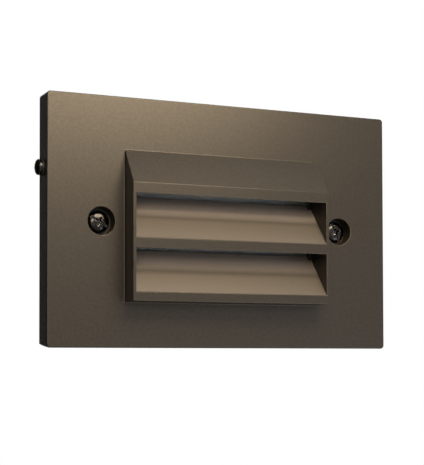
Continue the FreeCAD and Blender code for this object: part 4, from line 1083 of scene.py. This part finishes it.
@dataclass
class Studio:
    """Camera, lamps, cards, floor and white surround."""

    place: Point = (-168.584, -377.211, -43.845)
    yaw: float = 0.41793
    pitch: float = 0.03223
    roll: float = -0.00216
    focal_px: float = 1270.98
    sink_px: float = 90.0
    floor_level: float = -260.0
    floor_radius: float = 1500.0
    fade: Span = (350.0, 1200.0)
    surround_strength: float = 0.3

    def camera(self) -> bpy.types.Object:
        """Sets up the camera of the photograph.

        Returns:
            The camera's object.
        """
        level = math.cos(self.pitch)
        forward = Vector((math.sin(self.yaw) * level, math.cos(self.yaw) * level,
                          math.sin(self.pitch)))
        right = Vector((math.cos(self.yaw), -math.sin(self.yaw), 0.0))
        up = right.cross(forward)
        cosine = math.cos(self.roll)
        sine = math.sin(self.roll)
        tilted = cosine * right + sine * up
        upright = cosine * up - sine * right
        deselect()
        bpy.ops.object.camera_add()
        camera = bpy.context.object
        turn = Matrix((tilted, upright, -forward)).transposed().to_4x4()
        camera.matrix_world = Matrix.Translation(Vector(self.place) * MM) @ turn
        camera.data.sensor_width = SENSOR_MM
        camera.data.lens = self.focal_px / IMAGE_HEIGHT * SENSOR_MM
        camera.data.shift_y = self.sink_px / IMAGE_HEIGHT
        camera.data.clip_start = 0.01
        camera.data.clip_end = 20.0
        bpy.context.scene.camera = camera
        return camera

    def seen(self, tree: bpy.types.NodeTree) -> bpy.types.NodeSocket:
        """Tells the rays that show the surround from the rays that light the object.

        Args:
            tree: Node tree of the world or a material.

        Returns:
            1 for a camera, glossy or transmission ray, and else 0.
        """
        ray = add_node(tree, "ShaderNodeLightPath").outputs
        settings = {"operation": "MAXIMUM"}
        inputs = {0: ray["Is Camera Ray"], 1: ray["Is Glossy Ray"]}
        either = add_node(tree, "ShaderNodeMath", settings, inputs).outputs[0]
        inputs = {0: either, 1: ray["Is Transmission Ray"]}
        return add_node(tree, "ShaderNodeMath", settings, inputs).outputs[0]

    def surround(self) -> None:
        """Makes the world white where it is seen and a soft grey where it only gives light."""
        world = bpy.data.worlds.new("white_surround")
        bpy.context.scene.world = world
        world.use_nodes = True
        tree = world.node_tree
        tree.nodes.clear()
        limits = {0: self.seen(tree), 1: 0.0, 2: 1.0, 3: self.surround_strength, 4: 1.0}
        strength = add_node(tree, "ShaderNodeMapRange", {}, limits).outputs[0]
        inputs = {"Color": (1.0, 1.0, 1.0, 1.0), "Strength": strength}
        shine = add_node(tree, "ShaderNodeBackground", {}, inputs).outputs[0]
        add_node(tree, "ShaderNodeOutputWorld", {}, {"Surface": shine})

    def floor(self) -> bpy.types.Object:
        """Lays a pale round floor that fades into the surround.

        Returns:
            The floor's object.
        """
        deselect()
        bpy.ops.mesh.primitive_circle_add(
            vertices=96, radius=self.floor_radius * MM, fill_type="NGON",
            location=(0, 0, self.floor_level * MM))
        floor = bpy.context.object
        floor.name = "floor"
        bpy.ops.object.transform_apply(location=True, rotation=True, scale=True)
        material = bpy.data.materials.new("pale_paper_floor")
        material.use_nodes = True
        tree = material.node_tree
        tree.nodes.clear()
        place = add_node(tree, "ShaderNodeTexCoord").outputs["Object"]
        flat = add_node(tree, "ShaderNodeVectorMath", {"operation": "MULTIPLY"},
                        {0: place, 1: (1.0, 1.0, 0.0)}).outputs[0]
        far = add_node(tree, "ShaderNodeVectorMath", {"operation": "LENGTH"}, {0: flat})
        limits = {0: far.outputs["Value"], 1: self.fade[0] * MM, 2: self.fade[1] * MM}
        fade = add_node(tree, "ShaderNodeMapRange", {"interpolation_type": "SMOOTHSTEP"}, limits)
        inputs = {0: fade.outputs[0], 1: self.seen(tree)}
        share = add_node(tree, "ShaderNodeMath", {"operation": "MULTIPLY"}, inputs).outputs[0]
        paper = add_node(tree, "ShaderNodeBsdfDiffuse", {}, {"Color": linear("#f2f2f0")})
        white = add_node(tree, "ShaderNodeEmission", {}, {"Color": (1.0, 1.0, 1.0, 1.0)})
        inputs = {0: share, 1: paper.outputs[0], 2: white.outputs[0]}
        mixed = add_node(tree, "ShaderNodeMixShader", {}, inputs).outputs[0]
        add_node(tree, "ShaderNodeOutputMaterial", {}, {"Surface": mixed})
        floor.data.materials.append(material)
        return floor

    def build(self) -> None:
        """Sets up the whole studio."""
        bpy.context.scene.view_settings.view_transform = "Standard"
        self.camera()
        self.surround()
        self.floor()
        Lamp("key_softbox", (5.0, -130.0, 105.0), (-20.0, 0.0, 20.0), (130.0, 90.0), 0.51,
             "#fff2d8").build()
        Lamp("left_softbox", (-262.0, -567.0, 133.0), (0.0, 0.0, 0.0), (200.0, 160.0), 1.2,
             "#fff4e8").build()
        Lamp("low_softbox", (260.0, -300.0, -230.0), (20.0, 0.0, -20.0), (240.0, 160.0), 0.7,
             "#d2deff").build()
        Lamp("rear_softbox", (330.0, 520.0, 330.0), (0.0, 0.0, 0.0), (500.0, 400.0), 4.0,
             "#fffaf2").build()
        Card("left_card", ((-112.0, -60.0, -300.0), (-112.0, 800.0, 300.0))).build()
        LOG.info("studio: camera, four lamps, a card, floor and surround")


def main() -> None:
    """Builds the step light's looks, one sub-assembly after the other."""
    logging.basicConfig(level=logging.INFO, format="%(message)s")
    for assembly in (Faceplate(), Fasteners(), LightEngine(), Driver(), RearCover(), Studio()):
        assembly.build()
        LOG.info("built %s", type(assembly).__name__)


if __name__ == "__main__":
    main()
